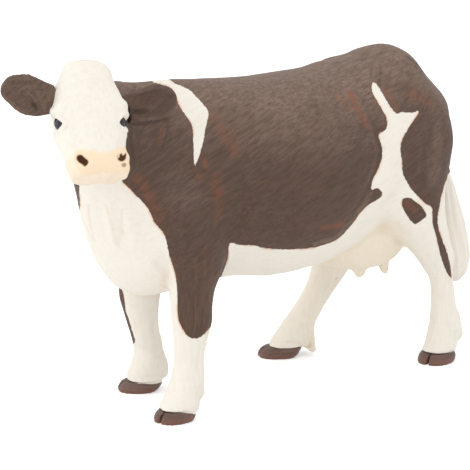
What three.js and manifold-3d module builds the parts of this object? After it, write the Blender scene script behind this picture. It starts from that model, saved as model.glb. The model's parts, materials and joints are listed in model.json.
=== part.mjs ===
// A standing spotted dairy cow, moulded in soft PVC as separate pieces that are glued together on keyed
// spigots: a torso with its neck, a turned head, ears, eyes, four legs with hooves, an udder and a tail.
// Millimetres. +X runs from the tail to the breast, +Y to the cow's left and +Z up. The figure is worked out
// on its own midline and is then moved so that the origin lies under the middle of its bounding box.

import * as THREE from 'three';
import { mergeVertices } from 'three/addons/utils/BufferGeometryUtils.js';
import Module from 'manifold-3d';

const wasm = await Module();
wasm.setup();

// Fits between the pieces
const GLUE_GAP = 0.3;
const SPIGOT_TAPER = 0.4;
const SPIGOT_ROOT = 1;

// Torso: places along the body, then heights, then the levels where it is widest, then full widths
const PIN_BONES_X = -49;
const HOOK_BONES_X = -30;
const BARREL_X = -3;
const GIRTH_X = 18;
const WITHERS_X = 27;
const BREAST_X = 48;
const TAIL_HEAD_HEIGHT = 71.6;
const HIP_HEIGHT = 78;
const BACK_HEIGHT = 74.2;
const WITHERS_HEIGHT = 76;
const CREST_HEIGHT = 78.4;
const BELLY_HEIGHT = 26.5;
const BRISKET_HEIGHT = 28;
const RUMP_LEVEL = 60;
const BARREL_LEVEL = 49;
const NECK_LEVEL = 67;
const RUMP_WIDTH = 25;
const HIP_WIDTH = 36;
const BARREL_WIDTH = 44;
const GIRTH_WIDTH = 37;
const BREAST_WIDTH = 21;
const NECK_WIDTH = 17;

// Head: the place of its poll, its turn, nod and roll, its length from poll to nose, its full widths and
// its depths below the face line
const POLL_X = 56.9;
const POLL_Y = 4.3;
const POLL_HEIGHT = 84;
const HEAD_TURN = 63;
const HEAD_NOD = 42;
const HEAD_ROLL = -2.5;
const HEAD_LENGTH = 28.6;
const POLL_WIDTH = 13.2;
const BROW_WIDTH = 18;
const FACE_WIDTH = 14.4;
const MUZZLE_WIDTH = 13.2;
const JAW_DEPTH = 15;
const MUZZLE_DEPTH = 9.6;
const EYE_RADIUS = 1.8;
const EYE_X = 14.8;
const EYE_SPACING = 13.6;
const EYE_DROP = 2.8;
const NOSTRIL_RADIUS = 1.2;
const NOSTRIL_SPACING = 8.8;
const NOSTRIL_SETBACK = 3.6;
const NOSTRIL_DROP = 2;
const MOUTH_DROP = 6.2;
const MOUTH_LENGTH = 6;
const MOUTH_GROOVE = 0.6;
const NECK_SEAM_X = 50;
const NECK_SEAM_TURN = 14;
const NECK_SEAM_TILT = 19;
const HEAD_SPIGOT_WIDTH = 8;
const HEAD_SPIGOT_LENGTH = 9;

// Ears
const LEFT_EAR_X = 9.9;
const RIGHT_EAR_X = 7.2;
const EAR_DROP = 4.6;
const EAR_LENGTH = 12.8;
const EAR_WIDTH = 8.2;
const EAR_ROOT_WIDTH = 6.8;
const EAR_THICKNESS = 2;
const EAR_ROOT_DEPTH = 4;
const EAR_CUP = 1.3;
const EAR_FACING = 35;
const LEFT_EAR_LIFT = 13;
const RIGHT_EAR_LIFT = 17;
const EAR_PIN_RADIUS = 0.9;
const EAR_PIN_LENGTH = 4;

// Legs: heights of the joints, and full widths across the leg
const CORONET_HEIGHT = 2.8;
const FETLOCK_HEIGHT = 8;
const CANNON_HEIGHT = 13.6;
const KNEE_HEIGHT = 22.8;
const ELBOW_HEIGHT = 38;
const SHOULDER_HEIGHT = 52;
const HOCK_HEIGHT = 21;
const GASKIN_HEIGHT = 30;
const STIFLE_HEIGHT = 42;
const THIGH_HEIGHT = 56;
const FORELEG_SEAM_HEIGHT = 26;
const HIND_LEG_SEAM_HEIGHT = 27;
const HOOF_WIDTH = 9;
const HOOF_CLEFT = 1.1;
const CLEFT_LENGTH = 4.4;
const CLEFT_HEIGHT = 5;
const CANNON_WIDTH = 6.2;
const KNEE_WIDTH = 8.8;
const HOCK_WIDTH = 6.8;
const LEG_SPIGOT_WIDTH = 4.4;
const LEG_SPIGOT_LENGTH = 6;
const HOOF_PIN_RADIUS = 1.6;
const HOOF_PIN_LENGTH = 3;
const DEWCLAW_RADIUS = 1.3;
const DEWCLAW_LENGTH = 4.6;
const DEWCLAW_DROP = 2.8;
const DEWCLAW_SPACING = 3.6;
const FORE_TRACK = 25;
const HIND_TRACK = 28.6;

// Udder and tail
const UDDER_X = -27;
const UDDER_LENGTH = 30;
const UDDER_WIDTH = 25;
const UDDER_HEIGHT = 23.6;
const UDDER_SPIGOT_RADIUS = 3.5;
const UDDER_SPIGOT_LENGTH = 5;
const TEAT_LENGTH = 2.4;
const TEAT_RADIUS = 1.3;
const TEAT_SPACING = 8;
const TEAT_SETBACK = 3;
const TAIL_TIP_HEIGHT = 16;
const TAIL_ROOT_DEPTH = 3;
const TAIL_WIDTH = 4.4;
const SWITCH_WIDTH = 7.6;
const TAIL_PIN_RADIUS = 1.3;
const TAIL_PIN_LENGTH = 5;

// Facets: sides round each loft and rings from one station to the next
const TRUNK_SIDES = 32;
const TRUNK_STEPS = 2;
const LEG_SIDES = 16;
const LEG_STEPS = 2;
const HEAD_SIDES = 22;
const HEAD_STEPS = 2;
const EAR_SIDES = 14;
const EAR_STEPS = 2;
const UDDER_SIDES = 20;
const UDDER_STEPS = 2;
const TAIL_SIDES = 12;
const TAIL_STEPS = 2;
const BALL_SIDES = 14;
const SMALL_SIDES = 8;
const PIN_SIDES = 10;
const KEYED_SIDES = 4;

// Paints
const BROWN = new THREE.MeshStandardMaterial({ color: 0x5c4a42, roughness: 0.75, metalness: 0 });
const WHITE = new THREE.MeshStandardMaterial({ color: 0xf1ece1, roughness: 0.7, metalness: 0 });
const HORN = new THREE.MeshStandardMaterial({ color: 0x6a5148, roughness: 0.6, metalness: 0 });
const PINK = new THREE.MeshStandardMaterial({ color: 0xf0e2cb, roughness: 0.65, metalness: 0 });
const GLOSS_BLACK = new THREE.MeshStandardMaterial({ color: 0x1d2126, roughness: 0.15, metalness: 0 });

const degrees = THREE.MathUtils.degToRad;

// A closed three.js geometry as a solid that can be joined and cut.
function solidOf(geometry) {
  const bare = new THREE.BufferGeometry();
  bare.setAttribute('position', geometry.getAttribute('position').clone());
  bare.setIndex(geometry.index);
  const merged = mergeVertices(bare);
  return new wasm.Manifold(new wasm.Mesh({
    numProp: 3,
    vertProperties: new Float32Array(merged.getAttribute('position').array),
    triVerts: new Uint32Array(merged.index.array),
  }));
}

function geometryOf(solid) {
  const { vertProperties, triVerts } = solid.getMesh();
  const geometry = new THREE.BufferGeometry();
  geometry.setAttribute('position', new THREE.BufferAttribute(vertProperties, 3));
  geometry.setIndex(new THREE.BufferAttribute(triVerts, 1));
  geometry.computeVertexNormals();
  return geometry;
}

// A named mesh of a solid that was worked out in the figure's frame, held by a group placed in that frame.
function addPiece(group, name, solid, material) {
  group.updateMatrixWorld(true);
  const geometry = geometryOf(solid).applyMatrix4(group.matrixWorld.clone().invert());
  const mesh = new THREE.Mesh(geometry, material);
  mesh.name = name;
  group.add(mesh);
}

// Reads smooth values between stations, which are sorted along one of their fields.
function smooth(stations, along) {
  const fields = Object.keys(stations[0]);
  const places = stations.map((station) => station[along]);
  const values = stations.flatMap((station) => fields.map((field) => station[field]));
  const curve = new THREE.CubicInterpolant(places, values, fields.length);
  return (place) => {
    const found = curve.evaluate(place);
    return Object.fromEntries(fields.map((field, i) => [field, found[i]]));
  };
}

// The places of a loft's rings: one on each station and others evenly between.
function ringPlaces(stations, along, steps) {
  const places = stations.map((station) => station[along]);
  return places.flatMap((place, i) => {
    const next = places[i + 1] ?? place;
    const count = next === place ? 1 : steps;
    return Array.from({ length: count }, (_, k) => THREE.MathUtils.lerp(place, next, k / count));
  });
}

// A closed solid through rings of points that all run anticlockwise about the direction of the loft.
function loft(rings) {
  const sides = rings[0].length;
  const points = rings.flat();
  const faces = [];
  for (let r = 0; r + 1 < rings.length; r++) {
    for (let i = 0; i < sides; i++) {
      const a = r * sides + i;
      const b = r * sides + ((i + 1) % sides);
      faces.push(a, b, b + sides, a, b + sides, a + sides);
    }
  }
  const middle = (ring) => ring.reduce((sum, p) => sum.add(p), new THREE.Vector3()).divideScalar(sides);
  const last = (rings.length - 1) * sides;
  const start = points.push(middle(rings[0])) - 1;
  const end = points.push(middle(rings.at(-1))) - 1;
  for (let i = 0; i < sides; i++) {
    const j = (i + 1) % sides;
    faces.push(j, i, start, last + i, last + j, end);
  }
  const geometry = new THREE.BufferGeometry().setFromPoints(points);
  geometry.setIndex(faces);
  return solidOf(geometry);
}

// One ring of a loft: a rounded outline that reaches a different distance to each of its four sides.
// Fullness 2 is an ellipse, more is boxier and less is more pointed.
function ring(sides, centre, across, up, reach, fullness) {
  return Array.from({ length: sides }, (_, i) => {
    const angle = (2 * Math.PI * i) / sides;
    const c = Math.cos(angle);
    const s = Math.sin(angle);
    const power = 2 / (s >= 0 ? fullness.up : fullness.down);
    const u = Math.sign(c) * Math.abs(c) ** power * (c >= 0 ? reach.left : reach.right);
    const v = Math.sign(s) * Math.abs(s) ** power * (s >= 0 ? reach.up : reach.down);
    return centre.clone().addScaledVector(across, u).addScaledVector(up, v);
  });
}

const UP = new THREE.Vector3(0, 0, 1);
const AHEAD = new THREE.Vector3(1, 0, 0);
const LEFTWARD = new THREE.Vector3(0, 1, 0);
const DOWN = new THREE.Vector3(0, 0, -1);

// A loft of upright sections. Each has a top, a base, the level where it is widest and its half width.
function uprightLoft(stations, steps, sides, grow) {
  const at = smooth(stations, 'x');
  return loft(ringPlaces(stations, 'x', steps).map((x) => {
    const s = at(x);
    const across = LEFTWARD.clone().applyAxisAngle(UP, degrees(s.yaw));
    const half = s.half + grow;
    const reach = { left: half, right: half, up: s.top - s.level + grow, down: s.level - s.base + grow };
    const centre = new THREE.Vector3(x, s.y, s.level);
    return ring(sides, centre, across, UP, reach, { up: s.crown, down: s.keel });
  }));
}

// A loft of level sections. Each has its reach ahead, behind and to each side, and may be turned.
function levelLoft(stations, steps, sides, grow) {
  const at = smooth(stations, 'z');
  return loft(ringPlaces(stations, 'z', steps).map((z) => {
    const s = at(z);
    const ahead = AHEAD.clone().applyAxisAngle(UP, degrees(s.turn));
    const across = LEFTWARD.clone().applyAxisAngle(UP, degrees(s.turn));
    const half = s.half + grow;
    const reach = { left: s.fore + grow, right: s.aft + grow, up: half, down: half };
    const centre = new THREE.Vector3(s.x, s.y, z);
    return ring(sides, centre, ahead, across, reach, { up: s.round, down: s.round });
  }));
}

function ellipsoid(centre, radii, segments) {
  const ball = new THREE.SphereGeometry(1, segments, segments / 2);
  return solidOf(ball.scale(...radii).translate(...centre));
}

// A tapered spigot along a direction, from inside one piece into the socket of the other.
function spigot({ from, direction, radius, length, sides, grow = 0 }) {
  const root = radius + grow;
  const stick = new THREE.CylinderGeometry(root - SPIGOT_TAPER, root, length + grow, sides, 1);
  stick.rotateY(Math.PI / sides).translate(0, (length + grow) / 2, 0);
  stick.applyQuaternion(new THREE.Quaternion().setFromUnitVectors(LEFTWARD, direction));
  return solidOf(stick.translate(...from));
}

// The part of a solid on the side of a plane that its normal points to. A seam stands half a glue gap back.
function keep(solid, normal, point, back = 0) {
  return solid.trimByPlane(normal.toArray(), normal.dot(point) + back);
}

function keepSeam(solid, normal, point) {
  return keep(solid, normal, point, GLUE_GAP / 2);
}

// Trunk: rump, barrel, breast and neck, as one run of sections from the pin bones to the poll
const trunkStations = [
  { x: PIN_BONES_X - 2.5, top: TAIL_HEAD_HEIGHT - 6, base: RUMP_LEVEL - 5,
    level: RUMP_LEVEL + 1, half: RUMP_WIDTH / 4 },
  { x: PIN_BONES_X, top: TAIL_HEAD_HEIGHT - 2.6, base: RUMP_LEVEL - 12,
    level: RUMP_LEVEL, half: RUMP_WIDTH / 2 - 2 },
  { x: PIN_BONES_X + 3, top: TAIL_HEAD_HEIGHT, base: RUMP_LEVEL - 15,
    level: RUMP_LEVEL, half: RUMP_WIDTH / 2 },
  { x: PIN_BONES_X + 7.5, top: HIP_HEIGHT - 2.4, base: RUMP_LEVEL - 19,
    level: RUMP_LEVEL, half: RUMP_WIDTH / 2 + 2.5 },
  { x: HOOK_BONES_X - 6, top: HIP_HEIGHT, base: BELLY_HEIGHT + 9,
    level: RUMP_LEVEL - 1, half: HIP_WIDTH / 2 - 1.5, crown: 1.9 },
  { x: HOOK_BONES_X, top: HIP_HEIGHT - 0.6, base: BELLY_HEIGHT + 6,
    level: RUMP_LEVEL - 3, half: HIP_WIDTH / 2, crown: 1.9 },
  { x: HOOK_BONES_X + 10, top: BACK_HEIGHT + 0.8, base: BELLY_HEIGHT + 2.5,
    level: BARREL_LEVEL + 3, half: BARREL_WIDTH / 2 - 2, crown: 1.9 },
  { x: BARREL_X - 6, top: BACK_HEIGHT, base: BELLY_HEIGHT + 0.5, level: BARREL_LEVEL + 1,
    half: BARREL_WIDTH / 2 },
  { x: BARREL_X + 7, top: BACK_HEIGHT, base: BELLY_HEIGHT, level: BARREL_LEVEL,
    half: BARREL_WIDTH / 2 - 0.5 },
  { x: GIRTH_X - 4, top: BACK_HEIGHT + 0.7, base: BELLY_HEIGHT + 1.6,
    level: BARREL_LEVEL, half: GIRTH_WIDTH / 2 + 1.2 },
  { x: WITHERS_X - 2, top: WITHERS_HEIGHT, base: BRISKET_HEIGHT,
    level: BARREL_LEVEL - 1, half: GIRTH_WIDTH / 2 - 2, crown: 1.8 },
  { x: WITHERS_X + 9, top: WITHERS_HEIGHT + 0.7, base: BRISKET_HEIGHT - 1,
    level: BARREL_LEVEL - 4, half: BREAST_WIDTH / 2 + 3.5, crown: 1.7 },
  { x: BREAST_X - 6, top: CREST_HEIGHT - 0.8, base: BRISKET_HEIGHT,
    level: BARREL_LEVEL - 5, half: BREAST_WIDTH / 2 + 1.8, crown: 1.7 },
  { x: BREAST_X - 1, y: 0.6, yaw: 6, top: CREST_HEIGHT, base: BRISKET_HEIGHT + 5,
    level: BARREL_LEVEL + 1, half: BREAST_WIDTH / 2, crown: 1.8 },
  { x: BREAST_X + 2.5, y: 1.6, yaw: 12, top: CREST_HEIGHT, base: NECK_LEVEL - 24,
    level: NECK_LEVEL - 7, half: NECK_WIDTH / 2 + 0.7, crown: 1.9 },
  { x: BREAST_X + 6, y: 3.2, yaw: 20, top: CREST_HEIGHT - 0.2, base: NECK_LEVEL - 13,
    level: NECK_LEVEL, half: NECK_WIDTH / 2 },
  { x: BREAST_X + 10, y: 5, yaw: 28, top: CREST_HEIGHT - 1.2, base: NECK_LEVEL - 7,
    level: NECK_LEVEL + 2, half: NECK_WIDTH / 2 - 1.2 },
].map((station) => ({ y: 0, yaw: 0, crown: 2, keel: 2, ...station }));

const trunk = (grow = 0) => uprightLoft(trunkStations, TRUNK_STEPS, TRUNK_SIDES, grow);

// Legs: each runs from the sole to high inside the shoulder or the thigh, so that a seam cut anywhere
// leaves two faces of one outline. A pose says how far along the body each joint stands, and how far the
// fetlock sinks behind the foot.
const foreleg = ({ side, foot, fetlock, knee, toeOut, sink }) => {
  const y = (side * FORE_TRACK) / 2;
  const inward = (distance) => y - side * distance;
  const turn = -side * toeOut;
  return [
    { z: 0, x: foot, y, fore: 5.6, aft: 4.6, half: HOOF_WIDTH / 2, round: 2.3, turn },
    { z: CORONET_HEIGHT, x: foot - 1, y,
      fore: 5.2, aft: 4.3, half: HOOF_WIDTH / 2 - 0.1, round: 2.2, turn },
    { z: CORONET_HEIGHT + 2, x: (foot + fetlock) / 2 - 0.2, y,
      fore: 4.6, aft: 4 + sink, half: 4.1, turn },
    { z: FETLOCK_HEIGHT, x: fetlock, y, fore: 3.9, aft: 4.8, half: 3.9, turn },
    { z: CANNON_HEIGHT, x: (fetlock + knee) / 2, y, fore: 3.3, aft: 3.9, half: CANNON_WIDTH / 2, turn: 0 },
    { z: KNEE_HEIGHT, x: knee, y, fore: 4.6, aft: 5.7, half: KNEE_WIDTH / 2, turn: 0 },
    { z: (KNEE_HEIGHT + ELBOW_HEIGHT) / 2, x: knee - 0.3, y: inward(0.2),
      fore: 5.4, aft: 7, half: 5, turn: 0 },
    { z: ELBOW_HEIGHT, x: knee - 0.5, y: inward(0.8), fore: 8, aft: 9.8, half: 6.2, turn: 0 },
    { z: SHOULDER_HEIGHT, x: 33, y: inward(4.4), fore: 11, aft: 10, half: 7, turn: 0 },
    { z: SHOULDER_HEIGHT + 14, x: 29, y: inward(10), fore: 8, aft: 8, half: 4, turn: 0 },
  ].map((station) => ({ round: 2, ...station }));
};

// A hind leg that is set forward slopes, so its level sections are longer, by its spread at the hock.
const hindLeg = ({ side, foot, fetlock, hock, gaskin, toeOut, sink, spread }) => {
  const y = (side * HIND_TRACK) / 2;
  const inward = (distance) => y - side * distance;
  const turn = -side * toeOut;
  return [
    { z: 0, x: foot, y, fore: 5.6, aft: 4.6, half: HOOF_WIDTH / 2, round: 2.3, turn },
    { z: CORONET_HEIGHT, x: foot - 1, y, fore: 5, aft: 4.6, half: HOOF_WIDTH / 2 - 0.2, round: 2.2, turn },
    { z: CORONET_HEIGHT + 2, x: (foot + fetlock) / 2 - 0.4, y,
      fore: 4.4, aft: 4.6 + sink, half: 4.1, turn },
    { z: FETLOCK_HEIGHT, x: fetlock, y, fore: 3.9, aft: 5, half: 3.9, turn },
    { z: CANNON_HEIGHT, x: (fetlock + hock) / 2, y,
      fore: 3.5 + spread / 3, aft: 3.6 + spread / 3, half: CANNON_WIDTH / 2, turn: 0 },
    { z: HOCK_HEIGHT, x: hock, y, fore: 4.2 + spread, aft: 3.8 + spread, half: HOCK_WIDTH / 2, turn: 0 },
    { z: GASKIN_HEIGHT, x: gaskin, y: inward(0.5),
      fore: 7 + spread, aft: 5.4 + spread, half: 4.8, turn: 0 },
    { z: STIFLE_HEIGHT, x: -33, y: inward(1.5), fore: 11.5, aft: 11, half: 6.5, turn: 0 },
    { z: THIGH_HEIGHT, x: -35.5, y: inward(3), fore: 12.5, aft: 13, half: 7, turn: 0 },
    { z: THIGH_HEIGHT + 12, x: -36, y: inward(6), fore: 9, aft: 10, half: 5, turn: 0 },
  ].map((station) => ({ round: 2, ...station }));
};

const legs = [
  { name: 'front_left', sections: foreleg, seam: FORELEG_SEAM_HEIGHT, side: 1, sink: 0, toeOut: 0,
    foot: 38.4, fetlock: 35.5, knee: 33.8 },
  { name: 'front_right', sections: foreleg, seam: FORELEG_SEAM_HEIGHT, side: -1, sink: 0, toeOut: 10,
    foot: 28.8, fetlock: 26, knee: 29.4 },
  { name: 'hind_left', sections: hindLeg, seam: HIND_LEG_SEAM_HEIGHT, side: 1, sink: 0, toeOut: 0,
    foot: -42.3, fetlock: -44.6, hock: -44.6, gaskin: -40, spread: 0 },
  { name: 'hind_right', sections: hindLeg, seam: HIND_LEG_SEAM_HEIGHT, side: -1, sink: 1.9, toeOut: 10,
    foot: -16.5, fetlock: -22.6, hock: -34, gaskin: -34.5, spread: 2.6 },
];
for (const leg of legs) {
  const stations = leg.sections(leg);
  leg.at = smooth(stations, 'z');
  leg.form = (grow = 0) => levelLoft(stations, LEG_STEPS, LEG_SIDES, grow);
}

// A pair of dewclaws low on the back of the fetlock, which hang down beside the pastern
function dewclaws(leg) {
  const z = FETLOCK_HEIGHT - DEWCLAW_DROP - leg.sink;
  const { x, y, aft } = leg.at(z + DEWCLAW_LENGTH / 4);
  const claw = (side) => ellipsoid(
    [x - aft + DEWCLAW_RADIUS / 2, y + (side * DEWCLAW_SPACING) / 2, z],
    [DEWCLAW_RADIUS, DEWCLAW_RADIUS, DEWCLAW_LENGTH / 2],
    SMALL_SIDES,
  );
  return claw(1).add(claw(-1));
}

// The cleft between the two claws of a hoof: a wedge that opens towards the toe and climbs past the coronet
function cleft(leg) {
  const { x, y, fore, turn } = leg.at(0);
  const wedge = new THREE.Shape();
  wedge.moveTo(fore - CLEFT_LENGTH, 0);
  wedge.lineTo(fore + 1, -HOOF_CLEFT / 2);
  wedge.lineTo(fore + 1, HOOF_CLEFT / 2);
  wedge.closePath();
  const block = new THREE.ExtrudeGeometry(wedge, { depth: CLEFT_HEIGHT + 1, bevelEnabled: false });
  return solidOf(block.rotateZ(degrees(turn)).translate(x, y, -1));
}

// Head: sections from the poll to the nose, in its own frame with X along the face and Z out of the face
const headStations = [
  { x: -2, top: -1.4, base: -6.5, level: -4, half: POLL_WIDTH / 4 },
  { x: -0.4, top: 0.6, base: -9, level: -3.6, half: POLL_WIDTH / 2 - 0.8 },
  { x: 3.4, top: 1.5, base: -13, level: -4, half: POLL_WIDTH / 2 + 0.9 },
  { x: 7.6, top: 1.2, base: -JAW_DEPTH, level: -4.2, half: BROW_WIDTH / 2 - 1.1, crown: 2.3 },
  { x: EYE_X - 2.8, top: 0.9, base: -JAW_DEPTH, level: -4.3, half: BROW_WIDTH / 2, crown: 2.6, keel: 1.8 },
  { x: EYE_X, top: 0.6, base: -JAW_DEPTH + 0.4,
    level: -4.4, half: BROW_WIDTH / 2 - 0.5, crown: 2.6, keel: 1.8 },
  { x: EYE_X + 3.2, top: 0.1, base: -JAW_DEPTH + 1.6,
    level: -4.6, half: BROW_WIDTH / 2 - 0.8, crown: 2.5, keel: 1.8 },
  { x: 20.6, top: -0.3, base: -JAW_DEPTH + 3.4,
    level: -4.8, half: FACE_WIDTH / 2 + 0.4, crown: 2.4, keel: 1.9 },
  { x: HEAD_LENGTH - 5.2, top: -0.7, base: -MUZZLE_DEPTH - 1, level: -5, half: FACE_WIDTH / 2 },
  { x: HEAD_LENGTH - 2.6, top: -1.4, base: -MUZZLE_DEPTH - 0.4, level: -5.4, half: MUZZLE_WIDTH / 2 },
  { x: HEAD_LENGTH - 0.9, top: -2.9, base: -MUZZLE_DEPTH - 0.1, level: -6, half: MUZZLE_WIDTH / 2 - 0.4 },
  { x: HEAD_LENGTH, top: -4.6, base: -MUZZLE_DEPTH + 0.8, level: -6.8, half: MUZZLE_WIDTH / 2 - 2 },
].map((station) => ({ y: 0, yaw: 0, crown: 2.2, keel: 2.1, ...station }));

const skull = (grow = 0) => uprightLoft(headStations, HEAD_STEPS, HEAD_SIDES, grow);

const figure = new THREE.Group();
const headGroup = new THREE.Group();
headGroup.position.set(POLL_X, POLL_Y, POLL_HEIGHT);
headGroup.rotation.set(degrees(HEAD_ROLL), degrees(HEAD_NOD), degrees(HEAD_TURN), 'ZYX');
figure.add(headGroup);
headGroup.updateMatrixWorld(true);
const fromHead = (solid) => solid.transform(headGroup.matrixWorld.toArray());

const eye = (side, grow = 0) => {
  const radius = EYE_RADIUS + grow;
  return ellipsoid([EYE_X, (side * EYE_SPACING) / 2, -EYE_DROP], [radius, radius, radius], BALL_SIDES);
};

const nostril = (side) => ellipsoid(
  [HEAD_LENGTH - NOSTRIL_SETBACK, (side * NOSTRIL_SPACING) / 2, -NOSTRIL_DROP],
  [NOSTRIL_RADIUS, NOSTRIL_RADIUS, NOSTRIL_RADIUS],
  SMALL_SIDES,
);

// The mouth is a groove of one depth round the front of the muzzle.
function mouth() {
  const corner = new THREE.Vector3(HEAD_LENGTH - MOUTH_LENGTH, 0, -MOUTH_DROP);
  const rind = keep(skull(GLUE_GAP).subtract(skull(-MOUTH_GROOVE)), AHEAD, corner);
  const lowerEdge = corner.clone().addScaledVector(DOWN, MOUTH_GROOVE);
  return keep(keep(rind, DOWN, corner), UP, lowerEdge);
}

// Ears: leaves that are cupped forwards, from a round root beside the poll. Lift raises the tip.
const earAhead = new THREE.Vector3(Math.sin(degrees(EAR_FACING)), 0, Math.cos(degrees(EAR_FACING)));
const earStations = [
  { t: -0.08, half: EAR_ROOT_WIDTH / 2, thick: EAR_ROOT_DEPTH / 2, cup: 0 },
  { t: 0.12, half: EAR_ROOT_WIDTH / 2, thick: EAR_ROOT_DEPTH / 2 - 0.3, cup: EAR_CUP / 6 },
  { t: 0.36, half: EAR_WIDTH / 2 - 0.5, thick: EAR_THICKNESS / 2 + 0.3, cup: EAR_CUP },
  { t: 0.62, half: EAR_WIDTH / 2, thick: EAR_THICKNESS / 2, cup: EAR_CUP },
  { t: 0.84, half: EAR_WIDTH / 2 - 1, thick: EAR_THICKNESS / 2 - 0.1, cup: EAR_CUP / 2 },
  { t: 0.95, half: EAR_WIDTH / 4, thick: EAR_THICKNESS / 3, cup: EAR_CUP / 6 },
  { t: 1, half: EAR_WIDTH / 10, thick: EAR_THICKNESS / 6, cup: 0 },
];

function earRoot(side) {
  const x = side > 0 ? LEFT_EAR_X : RIGHT_EAR_X;
  const beside = smooth(headStations, 'x')(x).half - EAR_THICKNESS / 2;
  return new THREE.Vector3(x, side * beside, -EAR_DROP);
}

function ear(side, lift) {
  const tip = LEFTWARD.clone().multiplyScalar(side).applyAxisAngle(earAhead, side * degrees(lift));
  const across = earAhead.clone().cross(tip);
  const at = smooth(earStations, 't');
  return loft(ringPlaces(earStations, 't', EAR_STEPS).map((t) => {
    const s = at(t);
    const centre = earRoot(side).addScaledVector(tip, t * EAR_LENGTH);
    const reach = { left: s.half, right: s.half, up: s.thick, down: s.thick };
    return ring(EAR_SIDES, centre, across, earAhead, reach, { up: 2, down: 2 }).map((point) => {
      const share = point.clone().sub(centre).dot(across) / s.half;
      return point.addScaledVector(earAhead, s.cup * share ** 2);
    });
  }));
}

const earPin = (side, grow) => spigot({
  from: earRoot(side).addScaledVector(LEFTWARD, side * (EAR_THICKNESS + SPIGOT_ROOT)),
  direction: LEFTWARD.clone().multiplyScalar(-side),
  radius: EAR_PIN_RADIUS,
  length: EAR_PIN_LENGTH,
  sides: PIN_SIDES,
  grow,
});

// Udder: a broad bag between the thighs with four teats
const udderStations = [
  { z: UDDER_HEIGHT, fore: 3, aft: 3, half: 3 },
  { z: UDDER_HEIGHT + 1.2,
    fore: UDDER_LENGTH / 2 - 7, aft: UDDER_LENGTH / 2 - 6.2, half: UDDER_WIDTH / 2 - 5 },
  { z: UDDER_HEIGHT + 4, fore: UDDER_LENGTH / 2 - 3, aft: UDDER_LENGTH / 2 - 1.8,
    half: UDDER_WIDTH / 2 - 2 },
  { z: UDDER_HEIGHT + 9, fore: UDDER_LENGTH / 2 + 1, aft: UDDER_LENGTH / 2 + 0.6, half: UDDER_WIDTH / 2 },
  { z: UDDER_HEIGHT + 17,
    fore: UDDER_LENGTH / 2 + 4, aft: UDDER_LENGTH / 2 - 1, half: UDDER_WIDTH / 2 - 1 },
].map((station) => ({ x: UDDER_X, y: 0, round: 2.1, turn: 0, ...station }));

function teat(ahead, side) {
  const straight = TEAT_LENGTH + TEAT_RADIUS;
  const stick = new THREE.CapsuleGeometry(TEAT_RADIUS, straight, 3, SMALL_SIDES).rotateX(Math.PI / 2);
  const x = UDDER_X - TEAT_SETBACK + (ahead * TEAT_SPACING) / 2;
  const z = UDDER_HEIGHT - TEAT_LENGTH + TEAT_RADIUS + straight / 2;
  return solidOf(stick.translate(x, (side * TEAT_SPACING) / 2, z));
}

const udderTop = smooth(trunkStations, 'x')(UDDER_X).base;
const udderSpigot = (grow) => spigot({
  from: new THREE.Vector3(UDDER_X, 0, udderTop - SPIGOT_ROOT),
  direction: UP,
  radius: UDDER_SPIGOT_RADIUS,
  length: UDDER_SPIGOT_LENGTH,
  sides: PIN_SIDES,
  grow,
});

// Tail: it leaves the rump below the tail head, hangs close to it and ends in a thick switch.
const tailStations = [
  { z: TAIL_TIP_HEIGHT, x: PIN_BONES_X - 8.4, y: 4.5, half: SWITCH_WIDTH / 8 },
  { z: TAIL_TIP_HEIGHT + 2.5, x: PIN_BONES_X - 8.6, y: 4.5, half: SWITCH_WIDTH / 2 - 0.8 },
  { z: TAIL_TIP_HEIGHT + 10, x: PIN_BONES_X - 8.2, y: 4.2, half: SWITCH_WIDTH / 2 },
  { z: TAIL_TIP_HEIGHT + 19, x: PIN_BONES_X - 7, y: 3.4, half: SWITCH_WIDTH / 2 - 0.7 },
  { z: TAIL_TIP_HEIGHT + 27, x: PIN_BONES_X - 5.8, y: 2.2, half: TAIL_WIDTH / 2 },
  { z: TAIL_TIP_HEIGHT + 36, x: PIN_BONES_X - 5.2, y: 1, half: TAIL_WIDTH / 2 - 0.2 },
  { z: TAIL_HEAD_HEIGHT - 10, x: PIN_BONES_X - 3.8, y: 0.3, half: TAIL_WIDTH / 2 },
  { z: TAIL_HEAD_HEIGHT - 4, x: PIN_BONES_X + 0.4, y: 0, half: TAIL_WIDTH / 2 },
  { z: TAIL_HEAD_HEIGHT - 2, x: PIN_BONES_X + TAIL_ROOT_DEPTH + 1, y: 0, half: TAIL_WIDTH / 2 - 0.4 },
].map((station) => ({ fore: station.half, aft: station.half, round: 2, turn: 0, ...station }));

const tailPlace = smooth(tailStations, 'z')(TAIL_HEAD_HEIGHT - 8);
const tailPin = (grow) => spigot({
  from: new THREE.Vector3(tailPlace.x, tailPlace.y, TAIL_HEAD_HEIGHT - 8),
  direction: AHEAD,
  radius: TAIL_PIN_RADIUS,
  length: TAIL_PIN_LENGTH + TAIL_WIDTH / 2,
  sides: PIN_SIDES,
  grow,
});

// Neck seam: a tilted plane across the neck, with a square spigot on the head
const neckSeam = smooth(trunkStations, 'x')(NECK_SEAM_X);
const neckPoint = new THREE.Vector3(NECK_SEAM_X, neckSeam.y, neckSeam.level);
const neckAhead = AHEAD.clone()
  .applyAxisAngle(LEFTWARD, -degrees(NECK_SEAM_TILT))
  .applyAxisAngle(UP, degrees(NECK_SEAM_TURN));
const neckBack = neckAhead.clone().negate();
const headSpigot = (grow) => spigot({
  from: neckPoint.clone().addScaledVector(neckAhead, SPIGOT_ROOT),
  direction: neckBack,
  radius: HEAD_SPIGOT_WIDTH / Math.SQRT2,
  length: HEAD_SPIGOT_LENGTH,
  sides: KEYED_SIDES,
  grow,
});

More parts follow.
